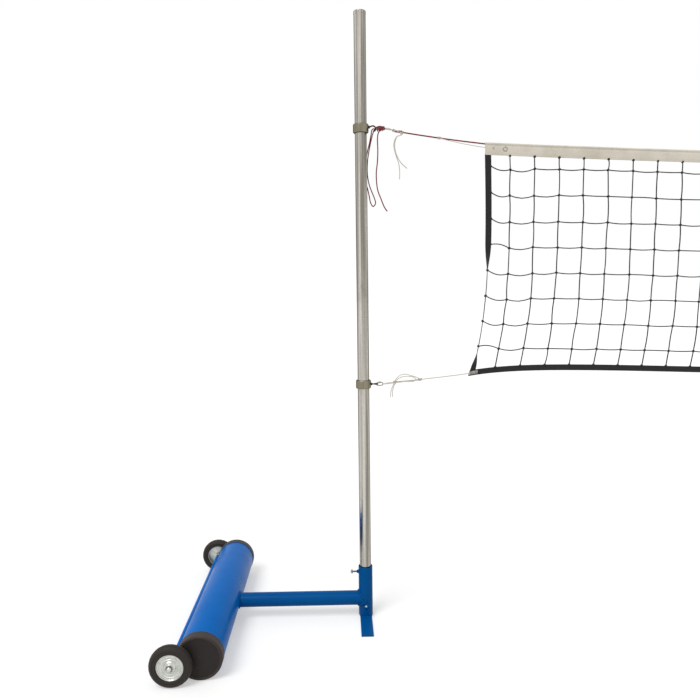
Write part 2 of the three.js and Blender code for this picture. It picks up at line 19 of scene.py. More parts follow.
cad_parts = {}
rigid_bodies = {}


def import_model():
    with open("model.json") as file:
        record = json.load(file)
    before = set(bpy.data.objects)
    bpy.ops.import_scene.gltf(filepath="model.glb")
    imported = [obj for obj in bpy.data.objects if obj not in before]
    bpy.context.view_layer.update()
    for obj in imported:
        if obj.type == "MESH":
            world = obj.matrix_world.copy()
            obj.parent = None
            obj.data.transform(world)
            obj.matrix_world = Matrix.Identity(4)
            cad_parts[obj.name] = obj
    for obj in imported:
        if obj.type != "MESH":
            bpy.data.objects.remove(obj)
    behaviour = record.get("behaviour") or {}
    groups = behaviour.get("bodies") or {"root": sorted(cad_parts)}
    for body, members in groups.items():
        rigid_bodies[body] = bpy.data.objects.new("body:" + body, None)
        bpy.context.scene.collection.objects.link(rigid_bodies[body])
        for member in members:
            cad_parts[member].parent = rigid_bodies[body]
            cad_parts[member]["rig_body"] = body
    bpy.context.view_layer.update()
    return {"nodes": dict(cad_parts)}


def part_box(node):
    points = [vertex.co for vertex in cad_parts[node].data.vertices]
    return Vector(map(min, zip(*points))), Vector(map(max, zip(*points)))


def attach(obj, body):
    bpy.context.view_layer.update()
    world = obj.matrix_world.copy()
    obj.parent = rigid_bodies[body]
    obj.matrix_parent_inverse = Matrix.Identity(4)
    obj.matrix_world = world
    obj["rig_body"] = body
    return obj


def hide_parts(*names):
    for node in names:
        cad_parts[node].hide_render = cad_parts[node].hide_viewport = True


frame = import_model()

LOG = logging.getLogger("volleyball_net")
FULL_TURN = 2 * math.pi

Point = Sequence[float]
Inputs = dict[str, Any]


def hue(code: str) -> tuple[float, float, float, float]:
    """A six-digit display colour as linear light.

    Args:
        code: Red, green and blue as hexadecimal digits.

    Returns:
        The colour with an alpha of one.
    """
    shares = (int(code[i : i + 2], 16) / 255 for i in (0, 2, 4))
    linear = [s / 12.92 if s <= 0.04045 else ((s + 0.055) / 1.055) ** 2.4 for s in shares]
    return (*linear, 1.0)


def wrap_noise(x: float, y: float = 0.0, z: float = 0.0) -> float:
    """Smooth noise between about -1 and 1, the same on every run."""
    return noise.noise(Vector((x, y, z)))


class Side(Enum):
    """The two ends of the net, each with its own standard."""

    LEFT = "left"
    RIGHT = "right"

    @property
    def matrix(self) -> Matrix:
        """The standard's own frame, set in the shared frame."""
        low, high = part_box(f"{self.value}_pole")
        spot = Matrix.Translation(((low.x + high.x) / 2, (low.y + high.y) / 2, 0))
        return spot @ Matrix.Rotation(0 if self is Side.LEFT else math.pi, 4, "Z")

    @property
    def sign(self) -> int:
        """Minus one at the left end of the net and one at the right."""
        return -1 if self is Side.LEFT else 1


class End(Enum):
    """The two ends of the ballast cylinder."""

    FRONT = "front"
    BACK = "back"

    @property
    def matrix(self) -> Matrix:
        """Turns a shape made about Z, outer face up, to face out of this end."""
        flip = math.pi / 2 if self is End.FRONT else -math.pi / 2
        return Matrix.Rotation(flip, 4, "X")

    @property
    def sign(self) -> int:
        """Minus one at the front and one at the back."""
        return -1 if self is End.FRONT else 1


# Shapes


@dataclass
class Form:
    """Points and faces of a shape that is still being put together."""

    points: list[Vector] = field(default_factory=list)
    faces: list[tuple[int, ...]] = field(default_factory=list)
    marks: list[tuple[tuple[float, float], ...]] = field(default_factory=list)

    def add(self, other: "Form") -> "Form":
        """Takes in another shape's points and faces.

        Args:
            other: The shape to take in.

        Returns:
            This shape.
        """
        start = len(self.points)
        self.points += other.points
        self.faces += [tuple(start + i for i in face) for face in other.faces]
        self.marks += other.marks
        return self

    def move(self, matrix: Matrix) -> "Form":
        """Sets every point through a matrix, and returns this shape."""
        self.points = [matrix @ p for p in self.points]
        return self

    def shift(self, x: float = 0, y: float = 0, z: float = 0) -> "Form":
        """Moves the shape along the axes, and returns it."""
        return self.move(Matrix.Translation((x, y, z)))

    def build(self, name: str, sharp: float = 34) -> bpy.types.Object:
        """Makes a smooth shaded object with outward faces and a UV map.

        Args:
            name: The object's name.
            sharp: Edges that turn by more degrees than this stay crisp.

        Returns:
            The object, linked to the scene.
        """
        mesh = bpy.data.meshes.new(name)
        mesh.from_pydata(self.points, [], self.faces)
        layer = mesh.uv_layers.new(name="UVMap")
        layer.data.foreach_set("uv", [c for mark in self.marks for pair in mark for c in pair])
        shape = bmesh.new()
        shape.from_mesh(mesh)
        bmesh.ops.remove_doubles(shape, verts=shape.verts, dist=2e-6)
        bmesh.ops.dissolve_degenerate(shape, edges=shape.edges, dist=1e-7)
        bmesh.ops.recalc_face_normals(shape, faces=shape.faces)
        shape.to_mesh(mesh)
        shape.free()
        mesh.shade_smooth()
        mesh.set_sharp_from_angle(angle=math.radians(sharp))
        return link(name, mesh)


def link(name: str, data: bpy.types.ID) -> bpy.types.Object:
    """A new object for some data, linked to the scene at the origin."""
    obj = bpy.data.objects.new(name, data)
    bpy.context.scene.collection.objects.link(obj)
    return obj


def skin(
    rings: Sequence[Sequence[Point]], ring: bool = True, loop: bool = False, caps: bool = False, span: tuple[float, float] = (1, 1)
) -> Form:
    """Faces over rows of points.

    Args:
        rings: Rows of equally many points.
        ring: Whether each row closes on itself.
        loop: Whether the last row joins the first.
        caps: Whether the first and last rows are filled.
        span: The size of the UV map along the rows' order and along each row.

    Returns:
        The shape.
    """
    rows, across = len(rings), len(rings[0])
    form = Form([Vector(p) for row in rings for p in row])
    for i in range(rows if loop else rows - 1):
        for j in range(across if ring else across - 1):
            k, m = (i + 1) % rows, (j + 1) % across
            form.faces.append((i * across + j, i * across + m, k * across + m, k * across + j))
            u, v = span[0] / rows, span[1] / across
            form.marks.append(((i * u, j * v), (i * u, (j + 1) * v), ((i + 1) * u, (j + 1) * v), ((i + 1) * u, j * v)))
    if caps:
        for start in (0, (rows - 1) * across):
            form.faces.append(tuple(range(start, start + across)))
            form.marks.append(tuple((0.0, 0.0) for _ in range(across)))
    return form


def ease(corners: Sequence[tuple[float, float]], radius: float, closed: bool = True, steps: int = 3) -> list[tuple[float, float]]:
    """Rounds the corners of a profile.

    Args:
        corners: The profile's corners.
        radius: How far from each corner the rounding starts.
        closed: Whether the profile closes on itself.
        steps: The pieces in each rounded corner.

    Returns:
        The rounded profile's points.
    """
    result: list[tuple[float, float]] = []
    count = len(corners)
    for i, corner in enumerate(corners):
        if not closed and i in (0, count - 1):
            result.append(corner)
            continue
        here = Vector(corner)
        before, after = Vector(corners[i - 1]) - here, Vector(corners[(i + 1) % count]) - here
        start = here + before.normalized() * min(radius, before.length * 0.45)
        end = here + after.normalized() * min(radius, after.length * 0.45)
        for k in range(steps + 1):
            t = k / steps
            result.append(tuple(start * (1 - t) ** 2 + here * 2 * t * (1 - t) + end * t**2))
    return result


def turned(profile: Sequence[tuple[float, float]], sides: int = 64, closed: bool = True) -> Form:
    """A profile of (radius, height) points turned about Z."""
    girth = FULL_TURN * max(r for r, _ in profile)
    length = sum(math.dist(a, b) for a, b in zip(profile, profile[1:]))
    rings = []
    for i in range(sides):
        angle = FULL_TURN * i / sides
        rings.append([(r * math.cos(angle), r * math.sin(angle), z) for r, z in profile])
    return skin(rings, ring=closed, loop=True, span=(girth, length))


def spline(route: Sequence[Point], pitch: float, closed: bool = False) -> list[Vector]:
    """Evenly spaced points on a smooth curve through a route.

    Args:
        route: The points that the curve passes.
        pitch: The distance between the points of the result.
        closed: Whether the curve closes on itself.

    Returns:
        The points.
    """
    stops = [Vector(p) for p in route]
    count = len(stops)
    dense: list[Vector] = []
    for i in range(count if closed else count - 1):
        p1, p2 = stops[i], stops[(i + 1) % count]
        p0 = stops[i - 1] if closed or i else p1 * 2 - p2
        p3 = stops[(i + 2) % count] if closed or i + 2 < count else p2 * 2 - p1
        d0, d1, d2 = (max(math.sqrt((a - b).length), 1e-6) for a, b in ((p0, p1), (p1, p2), (p2, p3)))
        m1 = ((p1 - p0) / d0 - (p2 - p0) / (d0 + d1) + (p2 - p1) / d1) * d1
        m2 = ((p2 - p1) / d1 - (p3 - p1) / (d1 + d2) + (p3 - p2) / d2) * d1
        for k in range(16):
            t = k / 16
            dense.append(
                p1 * (2 * t**3 - 3 * t**2 + 1) + m1 * (t**3 - 2 * t**2 + t) + p2 * (3 * t**2 - 2 * t**3) + m2 * (t**3 - t**2)
            )
    dense.append(stops[0] if closed else stops[-1])
    lengths = [0.0]
    for a, b in zip(dense, dense[1:]):
        lengths.append(lengths[-1] + (b - a).length)
    steps = max(2, round(lengths[-1] / pitch))
    result, j = [], 0
    for i in range(steps if closed else steps + 1):
        goal = lengths[-1] * i / steps
        while j < len(lengths) - 2 and lengths[j + 1] < goal:
            j += 1
        t = (goal - lengths[j]) / max(lengths[j + 1] - lengths[j], 1e-9)
        result.append(dense[j].lerp(dense[j + 1], t))
    return result


def run_of(points: Sequence[Vector]) -> float:
    """The length of a line through some points."""
    return sum((b - a).length for a, b in zip(points, points[1:]))


class Lay(Enum):
    """How the yarns of a cord or wire run, as (yarns, depth, pitch in diameters, crossed)."""

    SMOOTH = (0, 0.0, 1.0, False)
    TWISTED = (3, 0.13, 3.2, False)
    BRAIDED = (4, 0.11, 3.4, True)

    def swell(self, angle: float, turn: float) -> float:
        """The share of the radius that the surface has at an angle and a distance in diameters."""
        yarns, depth, pitch, crossed = self.value
        if not yarns:
            return 1.0
        phase = FULL_TURN * turn / pitch
        if crossed:
            return 1 - depth + depth * math.cos(yarns * (angle + phase / 2)) * math.cos(yarns * (angle - phase / 2))
        return 1 - depth + depth * (2 * abs(math.cos(yarns * (angle - phase) / 2)) - 1)


def cord_form(
    points: Sequence[Vector], radius: float, lay: Lay = Lay.SMOOTH, sides: int = 12, closed: bool = False, taper: float = 0.0
) -> Form:
    """A round cord, rope or wire along a line.

    Args:
        points: Evenly spaced points on the centre line.
        radius: Half the cord's thickness.
        lay: How its yarns run.
        sides: The points around it.
        closed: Whether it closes on itself.
        taper: How far from each open end it is rounded off.

    Returns:
        The shape.
    """
    count = len(points)
    length = run_of(points)
    tangents = []
    for i in range(count):
        before = points[i - 1] if closed or i else points[0]
        after = points[(i + 1) % count] if closed or i + 1 < count else points[-1]
        tangents.append((after - before).normalized())
    normal = tangents[0].orthogonal().normalized()
    rings, run = [], 0.0
    frames = []
    for i, tangent in enumerate(tangents):
        if i:
            normal = (tangents[i - 1].rotation_difference(tangent) @ normal).normalized()
        frames.append(normal)
    drift = 0.0
    if closed:
        last = tangents[-1].rotation_difference(tangents[0]) @ frames[-1]
        drift = math.atan2(last.cross(frames[0]).dot(tangents[0]), last.dot(frames[0]))
    for i, (point, tangent) in enumerate(zip(points, tangents)):
        twist = drift * i / count
        axis = Matrix.Rotation(twist, 3, tangent) @ frames[i]
        other = tangent.cross(axis)
        edge = min(run, length - run) / taper if taper and not closed else 1.0
        rounding = math.sqrt(max(0.02, 1 - (1 - min(edge, 1.0)) ** 2))
        ring = []
        for j in range(sides):
            angle = FULL_TURN * j / sides
            reach = radius * rounding * lay.swell(angle, run / (2 * radius))
            ring.append(point + axis * (reach * math.cos(angle)) + other * (reach * math.sin(angle)))
        rings.append(ring)
        if i + 1 < count:
            run += (points[i + 1] - point).length
    return skin(rings, loop=closed, caps=not closed, span=(length, FULL_TURN * radius))


def block(size: Point, rounding: float) -> Form:
    """A solid bar with rounded edges, centred on the origin.

    Args:
        size: Its length along each axis.
        rounding: The width of its rounded edges.

    Returns:
        The shape.
    """
    shape = bmesh.new()
    bmesh.ops.create_cube(shape, size=1)
    bmesh.ops.scale(shape, vec=Vector(size), verts=shape.verts)
    bmesh.ops.bevel(shape, geom=shape.edges[:], offset=rounding, segments=3, profile=0.5, affect="EDGES")
    shape.verts.index_update()
    faces = [tuple(v.index for v in face.verts) for face in shape.faces]
    form = Form([v.co.copy() for v in shape.verts], faces, [tuple((0.0, 0.0) for _ in face) for face in faces])
    shape.free()
    return form


def hexagon(flats: float, low: float, high: float, bore: float = 0.0) -> Form:
    """A hexagonal head or nut about Z with both faces chamfered.

    Args:
        flats: Its size across the flats.
        low: Its lower face.
        high: Its upper face.
        bore: The radius of its hole.

    Returns:
        The shape.
    """
    land = flats / 2 * 0.97
    rings = []
    for i in range(72):
        angle = FULL_TURN * i / 72
        reach = flats / 2 / math.cos((angle % (math.pi / 3)) - math.pi / 6)
        slope = (reach - land) * 0.58
        stops = [(bore, low), (land, low), (reach, low + slope), (reach, high - slope), (land, high), (bore, high)]
        rings.append([(r * math.cos(angle), r * math.sin(angle), z) for r, z in stops])
    return skin(rings, ring=bore > 0, loop=True)


def thread(radius: float, low: float, high: float, pitch: float) -> Form:
    """A screw thread about Z.

    Args:
        radius: Its outer radius.
        low: Its lower end.
        high: Its upper end.
        pitch: The distance between its turns.

    Returns:
        The shape.
    """
    sides, rings = 24, []
    count = max(8, round((high - low) / pitch * 6))
    for i in range(count + 1):
        z = low + (high - low) * i / count
        ring = []
        for j in range(sides):
            angle = FULL_TURN * j / sides
            turn = (z / pitch - j / sides) % 1
            reach = radius - pitch * 0.55 * abs(2 * turn - 1)
            ring.append((reach * math.cos(angle), reach * math.sin(angle), z))
        rings.append(ring)
    return skin(rings, caps=True)


def trefoil(centre: Point, size: float, along: Point, pitch: float) -> list[Vector]:
    """The line of a pulled-down overhand knot.

    Args:
        centre: The knot's middle.
        size: Half its width.
        along: The direction of the cord that it is tied in.
        pitch: The distance between the points of the result.

    Returns:
        Points on the closed line.
    """
    turn = Vector((0, 0, 1)).rotation_difference(Vector(along)).to_matrix()
    route = []
    for i in range(36):
        t = FULL_TURN * i / 36
        reach = size * (0.62 + 0.36 * math.cos(3 * t))
        route.append(Vector(centre) + turn @ Vector((reach * math.cos(2 * t), reach * math.sin(2 * t), size * 0.5 * math.sin(3 * t))))
    return spline(route, pitch, closed=True)


def coil(start: Point, end: Point, radius: float, turns: float, pitch: float) -> list[Vector]:
    """The line of a cord wound round an axis.

    Args:
        start: Where the winding starts on its axis.
        end: Where it ends.
        radius: The winding's radius at its middle line.
        turns: How many turns it has.
        pitch: The distance between the points of the result.

    Returns:
        Points on the line.
    """
    a, b = Vector(start), Vector(end)
    axis = (b - a).normalized()
    side = axis.orthogonal().normalized()
    other = axis.cross(side)
    count = int(turns * 14)
    route = []
    for i in range(count + 1):
        angle = FULL_TURN * turns * i / count
        reach = radius * (1 + 0.06 * wrap_noise(i * 0.4, turns))
        route.append(a.lerp(b, i / count) + side * (reach * math.cos(angle)) + other * (reach * math.sin(angle)))
    return spline(route, pitch)


# Finishes


class Shader:
    """A material's node tree, with short calls for the nodes that the finishes use."""

    def __init__(self, name: str) -> None:
        """Starts the material with its surface shader."""
        self.material = bpy.data.materials.new(name)
        self.material.use_nodes = True
        self.tree = self.material.node_tree
        self.surface = self.tree.nodes["Principled BSDF"]
        self.places = self.tree.nodes.new("ShaderNodeTexCoord")

    def add(self, kind: str, inputs: Inputs | None = None, **settings: Any) -> bpy.types.Node:
        """Adds a node.

        Args:
            kind: The node's type.
            inputs: Values or sockets for its inputs, by name or number.
            **settings: Its other properties.

        Returns:
            The node.
        """
        node = self.tree.nodes.new(kind)
        for key, value in settings.items():
            setattr(node, key, value)
        for key, value in (inputs or {}).items():
            self.feed(node.inputs[key], value)
        return node

    def feed(self, socket: bpy.types.NodeSocket, value: Any) -> None:
        """Sets a socket's value, or links another socket to it."""
        if isinstance(value, bpy.types.NodeSocket):
            self.tree.links.new(value, socket)
        else:
            socket.default_value = value

    def where(self, scale: Point = (1, 1, 1), on_piece: bool = False) -> bpy.types.NodeSocket:
        """Places in metres, stretched along the axes.

        Args:
            scale: The stretch along each axis.
            on_piece: Whether the piece's own UV map is read instead of its place.

        Returns:
            The coordinate socket.
        """
        source = self.places.outputs["UV" if on_piece else "Object"]
        return self.add("ShaderNodeMapping", {"Vector": source, "Scale": scale}).outputs[0]

    def grain(self, size: float, detail: float = 3, rough: float = 0.5, stretch: Point = (1, 1, 1), on_piece: bool = False) -> bpy.types.NodeSocket:
        """Noise from 0 to 1.

        Args:
            size: The size of its spots in metres.
            detail: The levels of finer noise in it.
            rough: How strong the finer levels are.
            stretch: Its scale along each axis.
            on_piece: Whether it follows the piece's own UV map.

        Returns:
            The noise socket.
        """
        inputs = {"Vector": self.where(stretch, on_piece), "Scale": 1 / size, "Detail": detail, "Roughness": rough}
        return self.add("ShaderNodeTexNoise", inputs).outputs["Fac"]

    def spread(self, value: Any, low: float, high: float, start: float = 0.0, end: float = 1.0) -> bpy.types.NodeSocket:
        """A value mapped from the range low to high onto start to end, and kept within it."""
        inputs = {"Value": value, "From Min": low, "From Max": high, "To Min": start, "To Max": end}
        return self.add("ShaderNodeMapRange", inputs).outputs[0]

    def sum(self, kind: str, first: Any, second: Any = 0.0) -> bpy.types.NodeSocket:
        """The result of a sum on one or two values."""
        return self.add("ShaderNodeMath", {0: first, 1: second}, operation=kind).outputs[0]

    def blend(self, share: Any, first: Any, second: Any, kind: str = "MIX") -> bpy.types.NodeSocket:
        """Two colours mixed by a share."""
        node = self.add("ShaderNodeMix", data_type="RGBA", blend_type=kind)
        for index, value in ((0, share), (6, first), (7, second)):
            self.feed(node.inputs[index], value)
        return node.outputs[2]

    def relief(self, height: Any, depth: float, under: bpy.types.NodeSocket | None = None, strength: float = 1.0) -> bpy.types.NodeSocket:
        """Surface relief from a height of 0 to 1.

        Args:
            height: The height.
            depth: The size in metres of one unit of height.
            under: Relief that this one lies on.
            strength: How much of it shows.

        Returns:
            The normal socket.
        """
        inputs = {"Height": height, "Distance": depth, "Strength": strength}
        if under:
            inputs["Normal"] = under
        return self.add("ShaderNodeBump", inputs).outputs[0]

    def finish(self, **inputs: Any) -> bpy.types.Material:
        """Feeds the surface shader's inputs, named with spaces as underscores, and returns the material."""
        for key, value in inputs.items():
            self.feed(self.surface.inputs[key.replace("_", " ")], value)
        return self.material


class Slot(Enum):
    """The record's material slots."""

    GALVANISED = "galvanised"
    BLUE = "blue_paint"
    ZINC = "zinc"
    CAP = "cap_rubber"
    TYRE = "tyre"
    DARK = "dark_steel"
    VINYL = "vinyl"
    TAPE = "black_tape"
    NETTING = "netting_cord"
    RED = "red_rope"
    WHITE = "white_rope"


@dataclass(frozen=True)
class Galvanised:
    """Hot-dipped zinc on tube: spangle, dull handling marks, and dark lengthwise streaks that are partly drawing marks
    and partly painted reflection stripes.
    """

    tone: str = "D8D4CC"
    dull: str = "6E695F"
    spangle: float = 0.006
    smudge: float = 0.09
    gloss: float = 0.1

    def material(self, name: str) -> bpy.types.Material:
        """The finish as a material of that name."""
        s = Shader(name)
        cells = s.add("ShaderNodeTexVoronoi", {"Vector": s.where((1, 1, 0.55)), "Scale": 1 / self.spangle})
        facet = s.add("ShaderNodeSeparateColor", {0: cells.outputs["Color"]}).outputs[0]
        streak = s.grain(0.004, 4, 0.6, (1, 1, 0.03))
        cloud = s.grain(self.smudge, 4, 0.62, (1, 1, 0.5))
        patch = s.spread(cloud, 0.6, 0.72)
        speck = s.spread(s.grain(0.0045, 2, 0.5), 0.7, 0.76)
        # Dark lengthwise streaks in the zinc's colour: partly marks left by drawing the tube, partly painted reflection
        # stripes.
        drawn_and_reflection_streaks = s.grain(0.013, 3, 0.55, (1, 1, 0.012))
        tint = s.blend(s.spread(drawn_and_reflection_streaks, 0.36, 0.62, 0.1, 0.85), hue(self.tone), hue(self.dull))
        tint = s.blend(s.spread(facet, 0, 1, 0.0, 0.12), tint, hue(self.dull))
        tint = s.blend(s.sum("MULTIPLY", patch, 0.45), tint, hue(self.dull))
        tint = s.blend(s.sum("MULTIPLY", speck, 0.5), tint, hue("5E574C"))
        rough = s.sum("ADD", s.spread(streak, 0.3, 0.7, self.gloss, self.gloss + 0.09), s.sum("MULTIPLY", patch, 0.14))
        rough = s.sum("ADD", rough, s.spread(facet, 0, 1, 0, 0.04))
        normal = s.relief(facet, 0.00003)
        normal = s.relief(streak, 0.00005, normal)
        normal = s.relief(s.grain(0.02, 3), 0.00012, normal)
        return s.finish(Base_Color=tint, Metallic=1.0, Roughness=rough, Normal=normal, Specular_Tint=hue("6A645A"))


@dataclass(frozen=True)
class Enamel:
    """Sprayed gloss paint: orange peel, faint dust, hairline scratches and rubbed spots."""

    tone: str = "0063B4"
    shade: str = "0054A2"
    worn: str = "1F3A55"
    peel: float = 0.0035
    gloss: float = 0.27

    def material(self, name: str) -> bpy.types.Material:
        """The finish as a material of that name."""
        s = Shader(name)
        cloud = s.grain(0.11, 4, 0.6)
        chips = s.spread(s.grain(0.006, 4, 0.66), 0.73, 0.75)
        chips = s.sum("MULTIPLY", chips, s.spread(s.grain(0.07, 2), 0.56, 0.66, 0, 0.8))
        scratch = s.spread(s.grain(0.0018, 2, 0.5, (0.06, 1, 0.5)), 0.7, 0.74)
        scratch = s.sum("MULTIPLY", scratch, s.spread(s.grain(0.05, 2), 0.5, 0.6, 0, 0.5))
        tint = s.blend(s.spread(cloud, 0.35, 0.7, 0, 0.22), hue(self.tone), hue(self.shade))
        tint = s.blend(chips, tint, hue(self.worn))
        tint = s.blend(scratch, tint, hue("2F79B8"))
        rough = s.sum("ADD", s.spread(cloud, 0.3, 0.75, self.gloss, self.gloss + 0.12), s.sum("MULTIPLY", chips, 0.35))
        normal = s.relief(s.grain(self.peel, 2), 0.00016)
        normal = s.relief(chips, -0.00015, normal)
        normal = s.relief(s.grain(0.06, 2), 0.0005, normal)
        return s.finish(Base_Color=tint, Roughness=rough, Normal=normal, Specular_IOR_Level=0.05)


@dataclass(frozen=True)
class Plating:
    """Bright zinc plate on hardware, lightly brushed and dulled in places."""

    tone: str = "CDCFC9"
    dull: str = "A2A49E"
    brush: float = 0.0009
    gloss: float = 0.33

    def material(self, name: str) -> bpy.types.Material:
        """The finish as a material of that name."""
        s = Shader(name)
        cloud = s.grain(0.012, 4, 0.6)
        brushed = s.grain(self.brush, 3, 0.6, (1, 0.2, 1))
        tint = s.blend(s.spread(cloud, 0.45, 0.75, 0, 0.6), hue(self.tone), hue(self.dull))
        rough = s.sum("ADD", s.spread(cloud, 0.3, 0.7, self.gloss, self.gloss + 0.1), s.spread(brushed, 0.3, 0.7, 0, 0.08))
        normal = s.relief(brushed, 0.00002)
        return s.finish(Base_Color=tint, Metallic=1.0, Roughness=rough, Normal=normal)


@dataclass(frozen=True)
class Rubber:
    """Moulded rubber: fine mould grain, a dusty bloom and scuffs."""

    tone: str = "2B2725"
    bloom: str = "4A433D"
    dust: float = 0.3
    rough: float = 0.55

    def material(self, name: str) -> bpy.types.Material:
        """The finish as a material of that name."""
        s = Shader(name)
        cloud = s.grain(0.03, 5, 0.65)
        scuff = s.spread(s.grain(0.003, 3, 0.6, (1, 0.3, 1)), 0.62, 0.8)
        tint = s.blend(s.spread(cloud, 0.4, 0.75, 0, self.dust), hue(self.tone), hue(self.bloom))
        tint = s.blend(s.sum("MULTIPLY", scuff, 0.3), tint, hue(self.bloom))
        rough = s.spread(cloud, 0.3, 0.7, self.rough - 0.1, self.rough + 0.14)
        normal = s.relief(s.grain(0.0009, 2), 0.00012)
        normal = s.relief(s.grain(0.008, 3), 0.0003, normal)
        return s.finish(Base_Color=tint, Roughness=rough, Normal=normal, Specular_IOR_Level=0.3, Sheen_Weight=0.04, Sheen_Roughness=0.5)


@dataclass(frozen=True)
class Oxide:
    """Bare steel wire gone dark brown, with patches of rust."""

    tone: str = "2C211C"
    rust: str = "5A3322"

    def material(self, name: str) -> bpy.types.Material:
        """The finish as a material of that name."""
        s = Shader(name)
        cloud = s.grain(0.006, 5, 0.65)
        tint = s.blend(s.spread(cloud, 0.48, 0.72), hue(self.tone), hue(self.rust))
        rough = s.spread(cloud, 0.35, 0.7, 0.36, 0.68)
        normal = s.relief(s.grain(0.0014, 3), 0.0001)
        return s.finish(Base_Color=tint, Metallic=0.75, Roughness=rough, Normal=normal)


@dataclass(frozen=True)
class Vinyl:
    """Coated cloth: the weave shows faintly through the coating, with patches of handling dirt."""

    tone: str = "DAD3C5"
    dirt: str = "B3A994"
    weave: float = 0.0011

    def material(self, name: str) -> bpy.types.Material:
        """The finish as a material of that name."""
        s = Shader(name)
        turn = FULL_TURN / self.weave
        across = s.add("ShaderNodeSeparateXYZ", {0: s.places.outputs["UV"]})
        threads = [s.sum("SINE", s.sum("MULTIPLY", across.outputs[i], turn)) for i in (0, 1)]
        grid = s.sum("MULTIPLY", threads[0], threads[1])
        cloud = s.grain(0.08, 5, 0.62)
        spots = s.spread(s.grain(0.007, 3, 0.6), 0.66, 0.8)
        tint = s.blend(s.spread(cloud, 0.42, 0.78, 0, 0.55), hue(self.tone), hue(self.dirt))
        tint = s.blend(s.sum("MULTIPLY", spots, 0.35), tint, hue("8D8371"))
        rough = s.spread(cloud, 0.3, 0.7, 0.42, 0.6)
        normal = s.relief(s.spread(grid, -1, 1), 0.00009)
        normal = s.relief(s.grain(0.012, 4, 0.6), 0.0006, normal)
        return s.finish(
            Base_Color=tint, Roughness=rough, Normal=normal, Sheen_Weight=0.12, Sheen_Roughness=0.4, Specular_IOR_Level=0.45
        )


@dataclass(frozen=True)
class Webbing:
    """Woven tape: slanted ribs that turn back down the middle, with fuzz on them."""

    tone: str = "0C0C0D"
    worn: str = "1E1D1E"
    rib: float = 0.0016
    width: float = 0.025

    def material(self, name: str) -> bpy.types.Material:
        """The finish as a material of that name."""
        s = Shader(name)
        axes = s.add("ShaderNodeSeparateXYZ", {0: s.places.outputs["UV"]})
        half = s.sum("ABSOLUTE", s.sum("SUBTRACT", s.sum("MODULO", axes.outputs[1], self.width), self.width / 2))
        slant = s.sum("ADD", axes.outputs[0], half)
        rib = s.sum("SINE", s.sum("MULTIPLY", slant, FULL_TURN / self.rib))
        yarn = s.sum("SINE", s.sum("MULTIPLY", axes.outputs[1], FULL_TURN / (self.rib * 0.6)))
        height = s.spread(s.sum("ADD", rib, s.sum("MULTIPLY", yarn, 0.5)), -1.5, 1.5)
        fuzz = s.grain(0.0012, 3, 0.7)
        wear = s.spread(s.grain(0.05, 4, 0.6), 0.45, 0.75, 0, 0.5)
        tint = s.blend(s.sum("MULTIPLY", height, wear), hue(self.tone), hue(self.worn))
        tint = s.blend(s.spread(fuzz, 0.6, 0.85, 0, 0.4), tint, hue("2B2A28"))
        normal = s.relief(height, 0.00028)
        normal = s.relief(fuzz, 0.0002, normal)
        return s.finish(Base_Color=tint, Roughness=0.82, Normal=normal, Sheen_Weight=0.12, Sheen_Roughness=0.45)


@dataclass(frozen=True)
class Yarn:
    """Cord fibre: fine filaments along the lay, painted shade between the yarns, with soiling."""

    tone: str
    # Colour of the painted shade between the yarns, also used for darker single fibres.
    shade: str
    soil: str
    girth: float
    filament: float = 0.00045
    sheen: float = 0.25

    def material(self, name: str) -> bpy.types.Material:
        """The finish as a material of that name."""
        s = Shader(name)
        fibres = s.grain(self.filament, 3, 0.6, (0.12, 1, 1), on_piece=True)
        cloud = s.grain(0.03, 4, 0.6)
        axes = s.add("ShaderNodeSeparateXYZ", {0: s.places.outputs["UV"]})
        slant = s.sum("ADD", s.sum("MULTIPLY", axes.outputs[0], 1.1), axes.outputs[1])
        lay = s.sum("SINE", s.sum("MULTIPLY", slant, FULL_TURN * 4 / self.girth))
        # Painted shade: the colour darkens towards the shade colour in the grooves between the yarns.
        tint = s.blend(s.spread(lay, -1, 0.2, 0.7, 0), hue(self.tone), hue(self.shade))
        tint = s.blend(s.spread(fibres, 0.45, 0.8, 0, 0.5), tint, hue(self.shade))
        tint = s.blend(s.spread(cloud, 0.5, 0.8, 0, 0.45), tint, hue(self.soil))
        normal = s.relief(s.spread(lay, -1, 1), 0.00018)
        normal = s.relief(fibres, 0.0002, normal)
        return s.finish(Base_Color=tint, Roughness=0.78, Normal=normal, Sheen_Weight=self.sheen, Sheen_Roughness=0.4)


